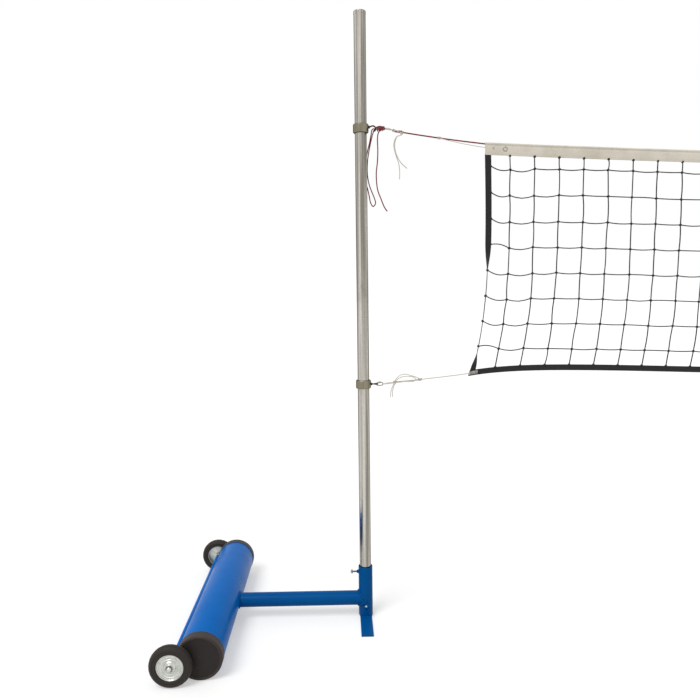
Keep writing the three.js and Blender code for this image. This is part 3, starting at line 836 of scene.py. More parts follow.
class Palette:
    """The finishes of the whole set, one material for each of the record's slots."""

    FINISHES = {
        Slot.GALVANISED: Galvanised(),
        Slot.BLUE: Enamel(),
        Slot.ZINC: Plating(),
        Slot.CAP: Rubber("2F2724", "4A4039", 0.3, 0.6),
        Slot.TYRE: Rubber("241E1B", "3B342E", 0.35, 0.62),
        Slot.DARK: Oxide(),
        Slot.VINYL: Vinyl(),
        Slot.TAPE: Webbing(),
        Slot.NETTING: Yarn("161617", "0B0B0C", "262523", 0.011, sheen=0.08),
        Slot.RED: Yarn("8E1B22", "4A0A0E", "5E2A28", 0.0157, sheen=0.12),
        Slot.WHITE: Yarn("DDD8CD", "A8A193", "BDB29C", 0.0126),
    }

    def __init__(self) -> None:
        """Makes every material once."""
        self.materials = {slot: finish.material(slot.value) for slot, finish in self.FINISHES.items()}
        self.edge_yarn = Yarn("3A1215", "1C0809", "2A1A1A", 0.006, sheen=0.05).material("edge_cord_yarn")
        # A darker copy of the blue paint for the arm, socket, foot, welds and bolt head: painted shade on these parts.
        self.shaded_blue = Enamel("004E8C", "00417C").material("arm_blue_enamel")
        self.cast_zinc = Galvanised("99937F", "7A7463", 0.004, 0.03, 0.3).material("collar_zinc")
        self.old_zinc = Plating("8D8F86", "5F6058", 0.0006, 0.3).material("link_zinc")
        # A darker copy of the cap rubber for the cap's recessed face: painted shade.
        self.shaded_cap_rubber = Rubber("1B1614", "2B2420", 0.3, 0.62).material("cap_face_rubber")

    def dress(
        self, obj: bpy.types.Object, slot: Slot, *nodes: str, body: str | None = None, finish: bpy.types.Material | None = None
    ) -> bpy.types.Object:
        """Gives a piece its finish and its body, and reports it.

        Args:
            obj: The finished piece.
            slot: The record's slot that it takes its finish from.
            *nodes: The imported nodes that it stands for.
            body: The body that it rides on, if that isn't the first node's.
            finish: A variant of the slot's material.

        Returns:
            The piece.
        """
        if not obj.data.materials:
            obj.data.materials.append(finish or self.materials[slot])
        rides = body or frame["nodes"][nodes[0]]["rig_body"]
        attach(obj, rides)
        if nodes:
            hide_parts(*nodes)
        LOG.info("%s: %d faces on %s", obj.name, len(obj.data.polygons), rides)
        return obj


# Repeating pieces


class Grower:
    """A Geometry Nodes tree that is grown on a piece and then kept as a plain mesh."""

    def __init__(self, name: str, inputs: dict[str, tuple[str, Any]]) -> None:
        """Starts the tree.

        Args:
            name: The tree's name.
            inputs: The type and value of each named input.
        """
        self.group = bpy.data.node_groups.new(name, "GeometryNodeTree")
        face = self.group.interface
        face.new_socket("Geometry", in_out="INPUT", socket_type="NodeSocketGeometry")
        self.values = {key: value for key, (_, value) in inputs.items()}
        self.ids = {
            key: face.new_socket(key, in_out="INPUT", socket_type=f"NodeSocket{kind}").identifier for key, (kind, _) in inputs.items()
        }
        face.new_socket("Geometry", in_out="OUTPUT", socket_type="NodeSocketGeometry")
        self.source = self.group.nodes.new("NodeGroupInput")
        self.sink = self.group.nodes.new("NodeGroupOutput")

    def add(self, kind: str, inputs: Inputs | None = None, **settings: Any) -> bpy.types.Node:
        """Adds a node.

        Args:
            kind: The node's type.
            inputs: Values or sockets for its inputs, by name or number.
            **settings: Its other properties.

        Returns:
            The node.
        """
        node = self.group.nodes.new(kind)
        for key, value in settings.items():
            setattr(node, key, value)
        for key, value in (inputs or {}).items():
            if isinstance(value, bpy.types.NodeSocket):
                self.group.links.new(value, node.inputs[key])
            else:
                node.inputs[key].default_value = value
        return node

    def given(self, key: str) -> bpy.types.NodeSocket:
        """The tree's own input of that name."""
        return self.source.outputs[key]

    def end(self, geometry: bpy.types.NodeSocket) -> None:
        """Closes the tree: instances become real and take the finish."""
        real = self.add("GeometryNodeRealizeInstances", {0: geometry})
        done = self.add("GeometryNodeSetMaterial", {0: real.outputs[0], "Material": self.given("Finish")})
        self.group.links.new(done.outputs[0], self.sink.inputs[0])

    def grow(self, seed: bpy.types.Object, name: str, **values: Any) -> bpy.types.Object:
        """Grows the tree on a piece and keeps the result as a plain mesh.

        Args:
            seed: The object that the tree starts from, which is removed.
            name: The result's name.
            **values: The tree's inputs, named with spaces as underscores.

        Returns:
            The grown object.
        """
        modifier = seed.modifiers.new(self.group.name, "NODES")
        modifier.node_group = self.group
        given = {key.replace("_", " "): value for key, value in values.items()}
        for key, value in {**self.values, **given}.items():
            modifier[self.ids[key]] = value
        bpy.context.view_layer.update()
        graph = bpy.context.evaluated_depsgraph_get()
        mesh = bpy.data.meshes.new_from_object(seed.evaluated_get(graph), depsgraph=graph)
        bpy.data.objects.remove(seed)
        mesh.name = name
        mesh.shade_smooth()
        mesh.set_sharp_from_angle(angle=math.radians(50))
        return link(name, mesh)


def lines_object(lines: Iterable[Sequence[Point]], closed: bool = False) -> bpy.types.Object:
    """An object that holds only lines, for a tree to grow on."""
    points: list[Vector] = []
    edges: list[tuple[int, int]] = []
    for line in lines:
        start = len(points)
        points += [Vector(p) for p in line]
        edges += [(i, i + 1) for i in range(start, len(points) - 1)]
        if closed:
            edges.append((len(points) - 1, start))
    mesh = bpy.data.meshes.new("lines")
    mesh.from_pydata(points, edges, [])
    return link("lines", mesh)


def beads_on_lines() -> Grower:
    """A tree that sets small rounded beads along lines: stitches, or the ripples of a weld."""
    grower = Grower(
        "beads_on_lines",
        {
            "Pitch": ("Float", 0.01),
            "Bead Size": ("Vector", (0.002, 0.001, 0.001)),
            "Unevenness": ("Float", 0.1),
            "Seed": ("Int", 3),
            "Finish": ("Material", None),
        },
    )
    curve = grower.add("GeometryNodeMeshToCurve", {0: grower.given("Geometry")})
    spaced = grower.add("GeometryNodeResampleCurve", {0: curve.outputs[0], "Length": grower.given("Pitch")}, mode="LENGTH")
    bead = grower.add("GeometryNodeMeshUVSphere", {"Segments": 6, "Rings": 4, "Radius": 0.5})
    tangent = grower.add("GeometryNodeInputTangent")
    turn = grower.add("FunctionNodeAlignEulerToVector", {"Vector": tangent.outputs[0]}, axis="X")
    low = grower.add("ShaderNodeMath", {0: 1.0, 1: grower.given("Unevenness")}, operation="SUBTRACT")
    high = grower.add("ShaderNodeMath", {0: 1.0, 1: grower.given("Unevenness")}, operation="ADD")
    vary = grower.add("FunctionNodeRandomValue", {2: low.outputs[0], 3: high.outputs[0], "Seed": grower.given("Seed")}, data_type="FLOAT")
    size = grower.add("ShaderNodeVectorMath", {0: grower.given("Bead Size"), "Scale": vary.outputs[1]}, operation="SCALE")
    beads = grower.add(
        "GeometryNodeInstanceOnPoints",
        {"Points": spaced.outputs[0], "Instance": bead.outputs[0], "Rotation": turn.outputs[0], "Scale": size.outputs[0]},
    )
    grower.end(beads.outputs[0])
    return grower


def knotted_mesh() -> Grower:
    """A tree that gives a mesh of lines its cord, and a knot wherever four lines meet."""
    grower = Grower(
        "knotted_mesh",
        {
            "Cord Diameter": ("Float", 0.0048),
            "Knot Size": ("Vector", (0.0130, 0.0085, 0.0110)),
            "Seed": ("Int", 11),
            "Finish": ("Material", None),
        },
    )
    half = grower.add("ShaderNodeMath", {0: grower.given("Cord Diameter"), 1: 0.5}, operation="MULTIPLY")
    curve = grower.add("GeometryNodeMeshToCurve", {0: grower.given("Geometry")})
    ring = grower.add("GeometryNodeCurvePrimitiveCircle", {"Resolution": 6, "Radius": half.outputs[0]})
    cords = grower.add("GeometryNodeCurveToMesh", {0: curve.outputs[0], 1: ring.outputs[0]})
    flag = grower.add("GeometryNodeInputNamedAttribute", {"Name": "knot"}, data_type="FLOAT")
    tied = grower.add("FunctionNodeCompare", {0: flag.outputs[0], 1: 0.5}, data_type="FLOAT", operation="GREATER_THAN")
    knot = grower.add("GeometryNodeMeshUVSphere", {"Segments": 8, "Rings": 5, "Radius": 0.5})
    angle = grower.add(
        "FunctionNodeRandomValue", {0: (-0.3, -0.8, -0.3), 1: (0.3, 0.8, 0.3), "Seed": grower.given("Seed")}, data_type="FLOAT_VECTOR"
    )
    knots = grower.add(
        "GeometryNodeInstanceOnPoints",
        {
            "Points": grower.given("Geometry"),
            "Selection": tied.outputs[0],
            "Instance": knot.outputs[0],
            "Rotation": angle.outputs[0],
            "Scale": grower.given("Knot Size"),
        },
    )
    both = grower.add("GeometryNodeJoinGeometry")
    grower.group.links.new(cords.outputs[0], both.inputs[0])
    grower.group.links.new(knots.outputs[0], both.inputs[0])
    grower.end(both.outputs[0])
    return grower


# Wheeled base


@dataclass
class WheeledBase:
    """One standard's ballast cylinder, caps, axle, wheels, arm, socket, foot and hardware."""

    side: Side
    palette: Palette
    beads: Grower
    cylinder_radius: float = 0.08415
    cylinder_wall: float = 0.004
    cylinder_half: float = 0.4539
    cylinder_x: float = -0.628
    cylinder_z: float = 0.08615
    cap_radius: float = 0.08615
    cap_face: float = 0.4572
    cap_skirt: float = 0.038
    axle_x: float = -0.7251
    axle_z: float = 0.0792
    axle_radius: float = 0.00635
    sleeve_radius: float = 0.01065
    sleeve_half: float = 0.4665
    weld_spacing: float = 0.33
    wheel_y: float = 0.4868
    shoulder: float = 0.5071
    arm_radius: float = 0.03015
    arm_z: float = 0.0815
    socket_radius: float = 0.03015
    socket_bore: float = 0.02625
    socket_top: float = 0.2256
    foot: tuple[float, float, float] = (0.0508, 0.357, 0.00635)
    bolt_z: float = 0.058
    clamp_z: float = 0.2
    clamp_tip: float = 0.02445
    clamp_length: float = 0.04

    def name(self, part: str) -> str:
        """A piece's name on this side."""
        return f"{self.side.value}_{part}"

    def put(
        self, form: Form, piece: str, slot: Slot, *nodes: str, sharp: float = 34, finish: bpy.types.Material | None = None
    ) -> bpy.types.Object:
        """Sets a shape in its place on this side and dresses it.

        Args:
            form: The shape, in the standard's own frame.
            piece: The piece's name without its side.
            slot: The record's slot.
            *nodes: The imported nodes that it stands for, without their side.
            sharp: Edges that turn by more degrees than this stay crisp.
            finish: A variant of the slot's material.

        Returns:
            The piece.
        """
        obj = form.move(self.side.matrix).build(self.name(piece), sharp)
        return self.palette.dress(obj, slot, *(self.name(node) for node in nodes), finish=finish)

    def along(self, form: Form, axis: str) -> Form:
        """Lays a shape made about Z along -X or -Y, so that its upper end faces out."""
        return form.move(Matrix.Rotation(-math.pi / 2, 4, "Y") if axis == "X" else Matrix.Rotation(math.pi / 2, 4, "X"))

    def weld(self, piece: str, line: Sequence[Point], body: str, size: float = 0.0055, closed: bool = True) -> None:
        """Lays a rippled weld along a line.

        Args:
            piece: The weld's name without its side.
            line: Points on its root, in the standard's own frame.
            body: The body that it rides on.
            size: The width of the weld.
            closed: Whether the line closes on itself.
        """
        points = [self.side.matrix @ Vector(p) for p in line]
        ripples = self.beads.grow(
            lines_object([points], closed),
            self.name(piece),
            Pitch=size * 0.42,
            Bead_Size=(size * 0.95, size * 1.25, size * 1.1),
            Unevenness=0.08,
            Seed=len(piece),
            Finish=self.palette.shaded_blue,
        )
        self.palette.dress(ripples, Slot.BLUE, body=body)

    def build(self) -> None:
        """Makes the whole base."""
        self.cylinder()
        self.axle()
        for end in End:
            self.cap(end)
            self.wheel(end)
        self.arm()
        self.socket()
        self.bolt()
        self.clamp()

    def cylinder(self) -> None:
        """The ballast cylinder."""
        r, w, h = self.cylinder_radius, self.cylinder_wall, self.cylinder_half
        profile = ease([(r, -h), (r, h), (r - w, h), (r - w, -h)], 0.0015)
        shell = self.along(turned(profile, 144), "Y").shift(self.cylinder_x, 0, self.cylinder_z)
        self.put(shell, "ballast_shell", Slot.BLUE, "ballast_tube")

    def cap(self, end: End) -> None:
        """A moulded rubber cap with a raised rim round its face."""
        r, face, skirt = self.cap_radius, self.cap_face, self.cap_skirt
        profile = [
            (0, face - 0.0021),
            (0.006, face - 0.0021),
            (0.0072, face - 0.0013),
            (0.009, face - 0.0021),
            (r - 0.0105, face - 0.0021),
            (r - 0.0085, face),
            (r - 0.0045, face),
            (r, face - 0.0042),
            (r - 0.0005, face - 0.0065),
            (r - 0.0005, face - skirt + 0.005),
            (r, face - skirt + 0.0035),
            (r, face - skirt),
            (r - 0.0016, face - skirt),
            (r - 0.0016, face - 0.0045),
            (0, face - 0.0045),
        ]
        cap = turned(ease(profile, 0.0014, closed=False), 120, closed=False).move(end.matrix)
        self.put(cap.shift(self.cylinder_x, 0, self.cylinder_z), f"rubber_cap_{end.value}", Slot.CAP, f"end_cap_{end.value}")
        # A darker rubber disc in the cap's recessed face: painted shade.
        inner = r - 0.0112
        disc = [(0, face - 0.0024), (inner, face - 0.0024), (inner, face - 0.0019), (0.0095, face - 0.0016), (0.0082, face - 0.0006), (0, face - 0.0006)]
        form = turned(ease(disc, 0.0003, closed=False), 96, closed=False).move(end.matrix).shift(self.cylinder_x, 0, self.cylinder_z)
        obj = form.move(self.side.matrix).build(self.name(f"cap_face_{end.value}"))
        self.palette.dress(obj, Slot.CAP, body="bases", finish=self.palette.shaded_cap_rubber)

    def axle(self) -> None:
        """The sleeve with its welds, the axle and the nut that closes it."""
        r, half = self.sleeve_radius, self.sleeve_half
        profile = ease([(r, -half), (r, half), (r - 0.0039, half), (r - 0.0039, -half)], 0.0008)
        sleeve = self.along(turned(profile, 40), "Y").shift(self.axle_x, 0, self.axle_z)
        start, end = self.axle_x + r - 0.002, self.cylinder_x - self.cylinder_radius + 0.001
        for place in (-1, 0, 1):
            web = block((end - start, 0.038, 0.005), 0.0015)
            sleeve.add(web.shift((start + end) / 2, place * self.weld_spacing, self.axle_z))
        self.put(sleeve, "axle_housing", Slot.BLUE, "axle_sleeve")
        middle = (start + end) / 2
        for place in (-1, 0, 1):
            for level in (-1, 1):
                y, z = place * self.weld_spacing, self.axle_z + level * 0.0028
                line = [(middle, y - 0.019, z), (middle, y + 0.019, z)]
                self.weld(f"housing_weld_{place + 1}{level + 1}", line, "bases", 0.004, closed=False)
        shoulder, radius = self.shoulder, self.axle_radius
        dome = [(0, 0.01), (0.003, 0.0098), (0.0064, 0.0082), (0.0086, 0.0058), (0.0093, 0.003), (0.0095, 0.0006), (0.0088, 0.0)]
        rod = [(r, shoulder + z) for r, z in dome] + [(radius, shoulder), (radius, -shoulder - 0.0045), (radius - 0.001, -shoulder - 0.005), (0, -shoulder - 0.005)]
        form = self.along(turned(ease(rod, 0.0005, closed=False), 48, closed=False), "Y")
        self.put(form.shift(self.axle_x, 0, self.axle_z), "axle_rod", Slot.ZINC, "axle")
        bore = radius + 0.0003
        cup = [(r, shoulder + z) for r, z in dome] + [(bore, shoulder), (bore, shoulder + 0.0053), (0, shoulder + 0.0053)]
        form = turned(ease(cup, 0.0004, closed=False), 48, closed=False).move(End.BACK.matrix)
        self.put(form.shift(self.axle_x, 0, self.axle_z), "axle_cap_nut", Slot.ZINC, "axle_nut")

    def tyre_form(self) -> Form:
        """A tyre with a raised ring on each wall, three grooves and notched shoulders."""
        half_line = [
            (0.0503, 0.0135),
            (0.0512, 0.0172),
            (0.0540, 0.0189),
            (0.0575, 0.0188),
            (0.0588, 0.0178),
            (0.0640, 0.0176),
            (0.0652, 0.0188),
            (0.0672, 0.0188),
            (0.0684, 0.0174),
            (0.0720, 0.0163),
            (0.0752, 0.0140),
            (0.0771, 0.0108),
            (0.0779, 0.0082),
            (0.0780, 0.0077),
            (0.0766, 0.0074),
            (0.0766, 0.0062),
            (0.0783, 0.0059),
            (0.0789, 0.0010),
            (0.0774, 0.0007),
        ]
        line = half_line + [(r, -z) for r, z in reversed(half_line)]
        rings = []
        for i in range(168):
            angle = FULL_TURN * i / 168
            notched = i % 6 < 2
            ring = []
            for r, z in line:
                worn = 0.0011 if notched and r > 0.0755 and abs(z) > 0.007 else 0
                ring.append(((r - worn) * math.cos(angle), (r - worn) * math.sin(angle), z))
            rings.append(ring)
        return skin(rings, loop=True, span=(0.48, 0.14))

    def wheel(self, end: End) -> None:
        """A wheel: ribbed tyre, pressed rim and the dark bush in its hub."""
        place = Matrix.Translation((self.axle_x, end.sign * self.wheel_y, self.axle_z)) @ end.matrix
        self.put(self.tyre_form().move(place), f"ribbed_tyre_{end.value}", Slot.TYRE, f"tyre_{end.value}", sharp=50)
        rim = [
            (0.0500, 0.0142),
            (0.0496, 0.0153),
            (0.0480, 0.0155),
            (0.0470, 0.0146),
            (0.0454, 0.0112),
            (0.0415, 0.0106),
            (0.0402, 0.0119),
            (0.0386, 0.0119),
            (0.0370, 0.0104),
            (0.0312, 0.0102),
            (0.0296, 0.0118),
            (0.0280, 0.0118),
            (0.0264, 0.0106),
            (0.0232, 0.0109),
            (0.0206, 0.0142),
            (0.0180, 0.0152),
            (0.0150, 0.0158),
            (0.0138, 0.0186),
            (0.0128, 0.0200),
            (0.00675, 0.0200),
            (0.00675, -0.0200),
            (0.0135, -0.0200),
            (0.0135, 0.0080),
            (0.0460, 0.0084),
            (0.0470, -0.0140),
            (0.0480, -0.0150),
            (0.0496, -0.0148),
            (0.0500, -0.0140),
        ]
        self.put(turned(ease(rim, 0.0007), 96).move(place), f"pressed_rim_{end.value}", Slot.ZINC, f"rim_{end.value}", sharp=50)
        bush = ease([(0.0099, 0.0188), (0.0124, 0.0188), (0.0124, 0.0203), (0.0099, 0.0203)], 0.0004)
        obj = turned(bush, 48).move(self.side.matrix @ place).build(self.name(f"hub_bush_{end.value}"))
        self.palette.dress(obj, Slot.CAP, body=f"{self.side.value}_{end.value}_wheel")

    def saddle(self, angle: float, reach: float, at_post: bool) -> Vector:
        """A point where the arm meets the cylinder or the post.

        Args:
            angle: The place round the arm.
            reach: The radius round the arm.
            at_post: Whether it is the post's end.

        Returns:
            The point, in the standard's own frame.
        """
        y, z = reach * math.cos(angle), self.arm_z + reach * math.sin(angle)
        if at_post:
            return Vector((-math.sqrt(max(self.socket_radius**2 - y**2, 0)), y, z))
        rise = max(self.cylinder_radius**2 - (z - self.cylinder_z) ** 2, 0)
        return Vector((self.cylinder_x + math.sqrt(rise), y, z))

    def arm(self) -> None:
        """The arm, fitted to the cylinder and the post, with a weld round each end."""
        rings = []
        stations = 12
        for i in range(stations + 1):
            share = i / stations
            ring = []
            for j in range(80):
                angle = FULL_TURN * j / 80
                a = self.saddle(angle, self.arm_radius, False) - Vector((0.002, 0, 0))
                b = self.saddle(angle, self.arm_radius, True) + Vector((0.001, 0, 0))
                ring.append(a.lerp(b, share))
            rings.append(ring)
        self.put(skin(rings, caps=True), "arm", Slot.BLUE, "arm_tube", finish=self.palette.shaded_blue)
        for at_post, label in ((False, "cylinder"), (True, "post")):
            shift = -0.0012 if at_post else 0.0012
            line = [self.saddle(FULL_TURN * i / 90, self.arm_radius + 0.0012, at_post) + Vector((shift, 0, 0)) for i in range(90)]
            self.weld(f"arm_weld_at_{label}", line, "bases", 0.009)

    def socket(self) -> None:
        """The socket with its welded nut, and the foot bar under it."""
        r, bore, top = self.socket_radius, self.socket_bore, self.socket_top
        post = turned(ease([(r, 0.0063), (r, top), (bore, top), (bore, 0.0063)], 0.0011), 96)
        nut = hexagon(0.013, r - 0.0018, r + 0.008, 0.0044)
        post.add(self.along(nut, "X").shift(0, 0, self.clamp_z))
        self.put(post, "socket", Slot.BLUE, "post_socket", finish=self.palette.shaded_blue)
        ring = [(0.0072 * math.cos(a), 0.0072 * math.sin(a)) for a in (FULL_TURN * i / 40 for i in range(40))]
        line = [(-math.sqrt(r**2 - y**2) - 0.0004, y, self.clamp_z + z) for y, z in ring]
        self.weld("nut_weld", line, "bases", 0.0032)
        foot = block(self.foot, 0.0014).shift(0, 0, self.foot[2] / 2)
        self.put(foot, "foot_plate", Slot.BLUE, "foot_bar", finish=self.palette.shaded_blue)
        outer = r + 0.0006
        inside = [a for a in (FULL_TURN * i / 120 for i in range(120)) if abs(outer * math.cos(a)) < self.foot[0] / 2 - 0.001]
        for label, keep in (("front", -1), ("back", 1)):
            arc = [(outer * math.cos(a), outer * math.sin(a), self.foot[2] + 0.0008) for a in inside if math.sin(a) * keep > 0]
            self.weld(f"foot_weld_{label}", arc, "bases", 0.0056, closed=False)

    def bolt(self) -> None:
        """The bolt that the pole stands on: a painted head with a bare tip, washers and a bright nut."""
        seat = self.socket_radius + 0.0003
        head = hexagon(0.0185, seat + 0.0006, seat + 0.0075)
        head.add(turned(ease([(0.0064, seat - 0.0002), (0.0112, seat - 0.0002), (0.0112, seat + 0.0008), (0.0064, seat + 0.0008)], 0.0003), 48))
        obj = self.along(head, "Y").shift(0, 0, self.bolt_z).move(self.side.matrix).build(self.name("bolt_head"))
        self.palette.dress(obj, Slot.BLUE, body="bases", finish=self.palette.shaded_blue)
        tip = [(0, seat + 0.0086), (0.0030, seat + 0.0084), (0.0046, seat + 0.0076), (0.0048, seat), (0.00635, seat), (0.00635, -seat - 0.004), (0, -seat - 0.004)]
        form = turned(ease(tip, 0.0004, closed=False), 40, closed=False)
        form.add(hexagon(0.019, -seat - 0.008, -seat - 0.0012, 0.0062))
        form.add(turned(ease([(0.0064, -seat - 0.0012), (0.0118, -seat - 0.0012), (0.0118, -seat + 0.0002), (0.0064, -seat + 0.0002)], 0.0003), 48))
        form.add(thread(0.00632, -seat - 0.012, -seat - 0.003, 0.0018))
        self.put(self.along(form, "Y").shift(0, 0, self.bolt_z), "cross_bolt", Slot.ZINC, "stop_bolt")

    def clamp(self) -> None:
        """The clamp screw with its cross bar."""
        tip, end = self.clamp_tip, self.clamp_tip + self.clamp_length
        form = self.along(thread(0.004, tip, end - 0.01, 0.00125), "X")
        neck = [(0, end - 0.0105), (0.0039, end - 0.0105), (0.0049, end - 0.0095), (0.0049, end - 0.001), (0.004, end), (0, end)]
        form.add(self.along(turned(ease(neck, 0.0005, closed=False), 40, closed=False), "X"))
        bar = spline([(0, -0.018, 0), (0, 0, 0), (0, 0.018, 0)], 0.0007)
        form.add(cord_form(bar, 0.003, sides=24, taper=0.0025).shift(-end + 0.006))
        self.put(form.shift(0, 0, self.clamp_z), "clamp_bolt", Slot.ZINC, "clamp_screw", finish=self.palette.old_zinc)


# Pole and its collars


@dataclass
class PoleAndCollars(WheeledBase):
    """One pole with its cap, and the two collars with their hook, eye and link."""

    pole_radius: float = 0.02415
    pole_wall: float = 0.0026
    pole_low: float = 0.06465
    pole_top: float = 2.50305
    collar_radius: float = 0.0315
    collar_bore: float = 0.0246
    collar_half: float = 0.0175
    upper_z: float = 2.063
    lower_z: float = 1.02
    eye_x: float = 0.0528
    link_x: float = 0.068

    def build(self) -> None:
        """Makes the pole and everything that slides on it."""
        r, w = self.pole_radius, self.pole_wall
        profile = ease([(r, self.pole_low), (r, self.pole_top), (r - w, self.pole_top), (r - w, self.pole_low)], 0.0007)
        self.put(turned(profile, 96), "pole_tube", Slot.GALVANISED, "pole")
        self.cap_top()
        self.collar("upper", self.upper_z)
        self.collar("lower", self.lower_z)
        self.hook()
        self.eye()
        self.link()

    def cap_top(self) -> None:
        """The turned cap, with a fine groove under its rounded top."""
        lip, plug, low = self.pole_radius + 0.0005, self.pole_radius - self.pole_wall - 0.0003, self.pole_top
        profile = [
            (0, low - 0.025),
            (plug - 0.001, low - 0.025),
            (plug, low - 0.022),
            (plug, low),
            (lip, low),
            (lip, low + 0.0095),
            (lip - 0.0008, low + 0.0103),
            (lip, low + 0.011),
            (lip - 0.0015, low + 0.0128),
            (lip - 0.005, low + 0.014),
            (0, low + 0.014),
        ]
        self.put(turned(ease(profile, 0.0008, closed=False), 96, closed=False), "pole_end_cap", Slot.GALVANISED, "pole_cap")

    def collar(self, place: str, z: float) -> None:
        """A sliding collar with chamfered edges and a set screw at its back."""
        r, bore, half, cut = self.collar_radius, self.collar_bore, self.collar_half, 0.0025
        corners = [(bore, -half), (r - cut, -half), (r, -half + cut), (r, half - cut), (r - cut, half), (bore, half)]
        form = turned(ease(corners, 0.0009), 96)
        screw = turned(ease([(0, r - 0.004), (0.0052, r - 0.004), (0.0052, r + 0.0016), (0.0028, r + 0.0016), (0.0028, r - 0.001), (0, r - 0.001)], 0.0005, closed=False), 36, closed=False)
        form.add(screw.move(End.BACK.matrix))
        self.put(form.shift(0, 0, z), f"{place}_ring", Slot.GALVANISED, f"{place}_collar", finish=self.palette.cast_zinc)

    def hook(self) -> None:
        """The open hook, with the nut at its root."""
        reach = ((-3.5, 6), (0, 6), (4, 6.3), (11, 9.5), (20, 10), (27, 4), (28, -4), (23, -9.5), (17, -10))
        route = [(self.collar_radius + 0.0006 + x / 1000, 0, self.upper_z + z / 1000) for x, z in reach]
        form = cord_form(spline(route, 0.0008), 0.003, sides=20, taper=0.003)
        nut = hexagon(0.0105, -self.collar_radius - 0.0048, -self.collar_radius + 0.0004)
        form.add(self.along(nut, "X").shift(0, 0, self.upper_z + 0.006))
        self.put(form, "open_hook", Slot.DARK, "upper_hook")

    def eye(self) -> None:
        """The eye bolt, with the nut at its root."""
        start = self.collar_radius
        form = self.along(thread(0.003, -start - 0.0125, -start + 0.002, 0.001), "X")
        form.add(self.along(hexagon(0.0105, -start - 0.0052, -start + 0.0004), "X"))
        ring = [(self.eye_x + 0.007 * math.cos(a), 0.007 * math.sin(a), 0) for a in (FULL_TURN * i / 72 for i in range(72))]
        form.add(cord_form([Vector(p) for p in ring], 0.003, sides=20, closed=True))
        self.put(form.shift(0, 0, self.lower_z), "eye_bolt", Slot.DARK, "lower_eye")

    def link(self) -> None:
        """The quick link, with its threaded sleeve."""
        route = []
        for i in range(24):
            angle = FULL_TURN * (i + 0.5) / 24
            flat = math.copysign(0.007, math.cos(angle))
            route.append((self.link_x + flat + 0.0065 * math.cos(angle), 0, 0.0065 * math.sin(angle)))
        form = cord_form(spline(route, 0.0009, closed=True), 0.002, sides=16, closed=True)
        sleeve = hexagon(0.0062, -0.0045, 0.0045)
        form.add(self.along(sleeve, "X").shift(self.link_x, 0, 0.0065))
        self.put(form.shift(0, 0, self.lower_z), "oval_link", Slot.ZINC, "quick_link", finish=self.palette.old_zinc)


# Ropes


def in_metres(*stops: tuple[float, float, float]) -> list[Vector]:
    """A route given in millimetres, in metres."""
    return [Vector(stop) / 1000 for stop in stops]


@dataclass(frozen=True)
class Tie:
    """A free cord: its route from where it leaves the set, its thickness, lay and slot."""

    route: list[Vector]
    diameter: float
    slot: Slot
    lay: Lay
    far_end: str = "bare"


LASHING = Tie(
    in_metres(
        (72, 2, 2061), (66, 5, 2062), (60, 6.1, 2061), (52, 8.5, 2064), (46, 10, 2060), (42, 14, 2040), (36, 20, 2010), (27, 29, 1975),
        (21, 33, 1940), (19, 35, 1890), (22, 35, 1850), (29, 33.5, 1820), (34, 32, 1795), (39, 31, 1771), (49, 31, 1757), (59, 31.5, 1769),
        (54, 33, 1792), (43, 36, 1820), (33, 39, 1850), (27, 41, 1890), (28, 40, 1940), (35, 35, 1985), (43, 27, 2022), (50, 21, 2048),
        (57, 18, 2064), (66, 16, 2072), (78, 10, 2074), (88, 1, 2069), (88, -7, 2060), (78, -10, 2054), (70, -9.5, 2042), (67, -8, 2022),
        (68, -7, 1975), (66, -6.5, 1930), (61, -6, 1883), (66, -6, 1820), (79, -6, 1784), (93, -6, 1750), (105, -6, 1732),
    ),
    0.005,
    Slot.RED,
    Lay.BRAIDED,
)
TIE = Tie(
    in_metres(
        (91, -3, 2063.5), (112, -2, 2063), (128, -4.5, 2056), (146, -4.3, 2050.7), (160, -6.5, 2045), (166, -8, 2038), (158, -9, 2033),
        (146, -8, 2030), (136, -7, 2014), (133, -7, 1995), (137, -7, 1970), (145, -7, 1945), (153, -7, 1920), (156, -7, 1890), (155, -7, 1860),
    ),
    0.004,
    Slot.WHITE,
    Lay.BRAIDED,
)
BOW = Tie(
    in_metres(
        (240, -4.5, 1036.5), (222, -5, 1047), (200, -5, 1054), (176, -5, 1060), (152, -5, 1055), (136, -6, 1039), (127, -6, 1020),
        (119, -6, 1002), (114, -6, 983), (113, -6, 963),
    ),
    0.004,
    Slot.WHITE,
    Lay.BRAIDED,
)
TIE_TAIL = Tie(
    in_metres((146, -12, 2030), (139, -11.5, 2013), (136, -11.5, 1994), (139, -11.5, 1971), (148, -12, 1946), (162, -12, 1924), (186, -11, 1902)),
    0.004,
    Slot.WHITE,
    Lay.BRAIDED,
)
BOW_LOOP = Tie(
    in_metres(
        (135, -7, 1030), (148, -10, 1044), (168, -12, 1051), (190, -13, 1052), (210, -12, 1047), (220, -11, 1039), (212, -11, 1031),
        (190, -11, 1029), (164, -11, 1029), (146, -9, 1027), (136, -8, 1025),
    ),
    0.004,
    Slot.WHITE,
    Lay.BRAIDED,
    "object",
)
BOW_TAIL = Tie(
    in_metres((130, -10, 1020), (125, -11, 1006), (122, -11, 992), (121, -11, 978), (122, -11, 964)),
    0.004,
    Slot.WHITE,
    Lay.BRAIDED,
)
LASHING_LOOP = Tie(
    in_metres((74, -8, 2062), (66, -12, 2060), (67, -22, 2057), (78, -27, 2055), (90, -22, 2058), (91, -12, 2062), (84, -8, 2063)),
    0.005,
    Slot.RED,
    Lay.BRAIDED,
    "object",
)


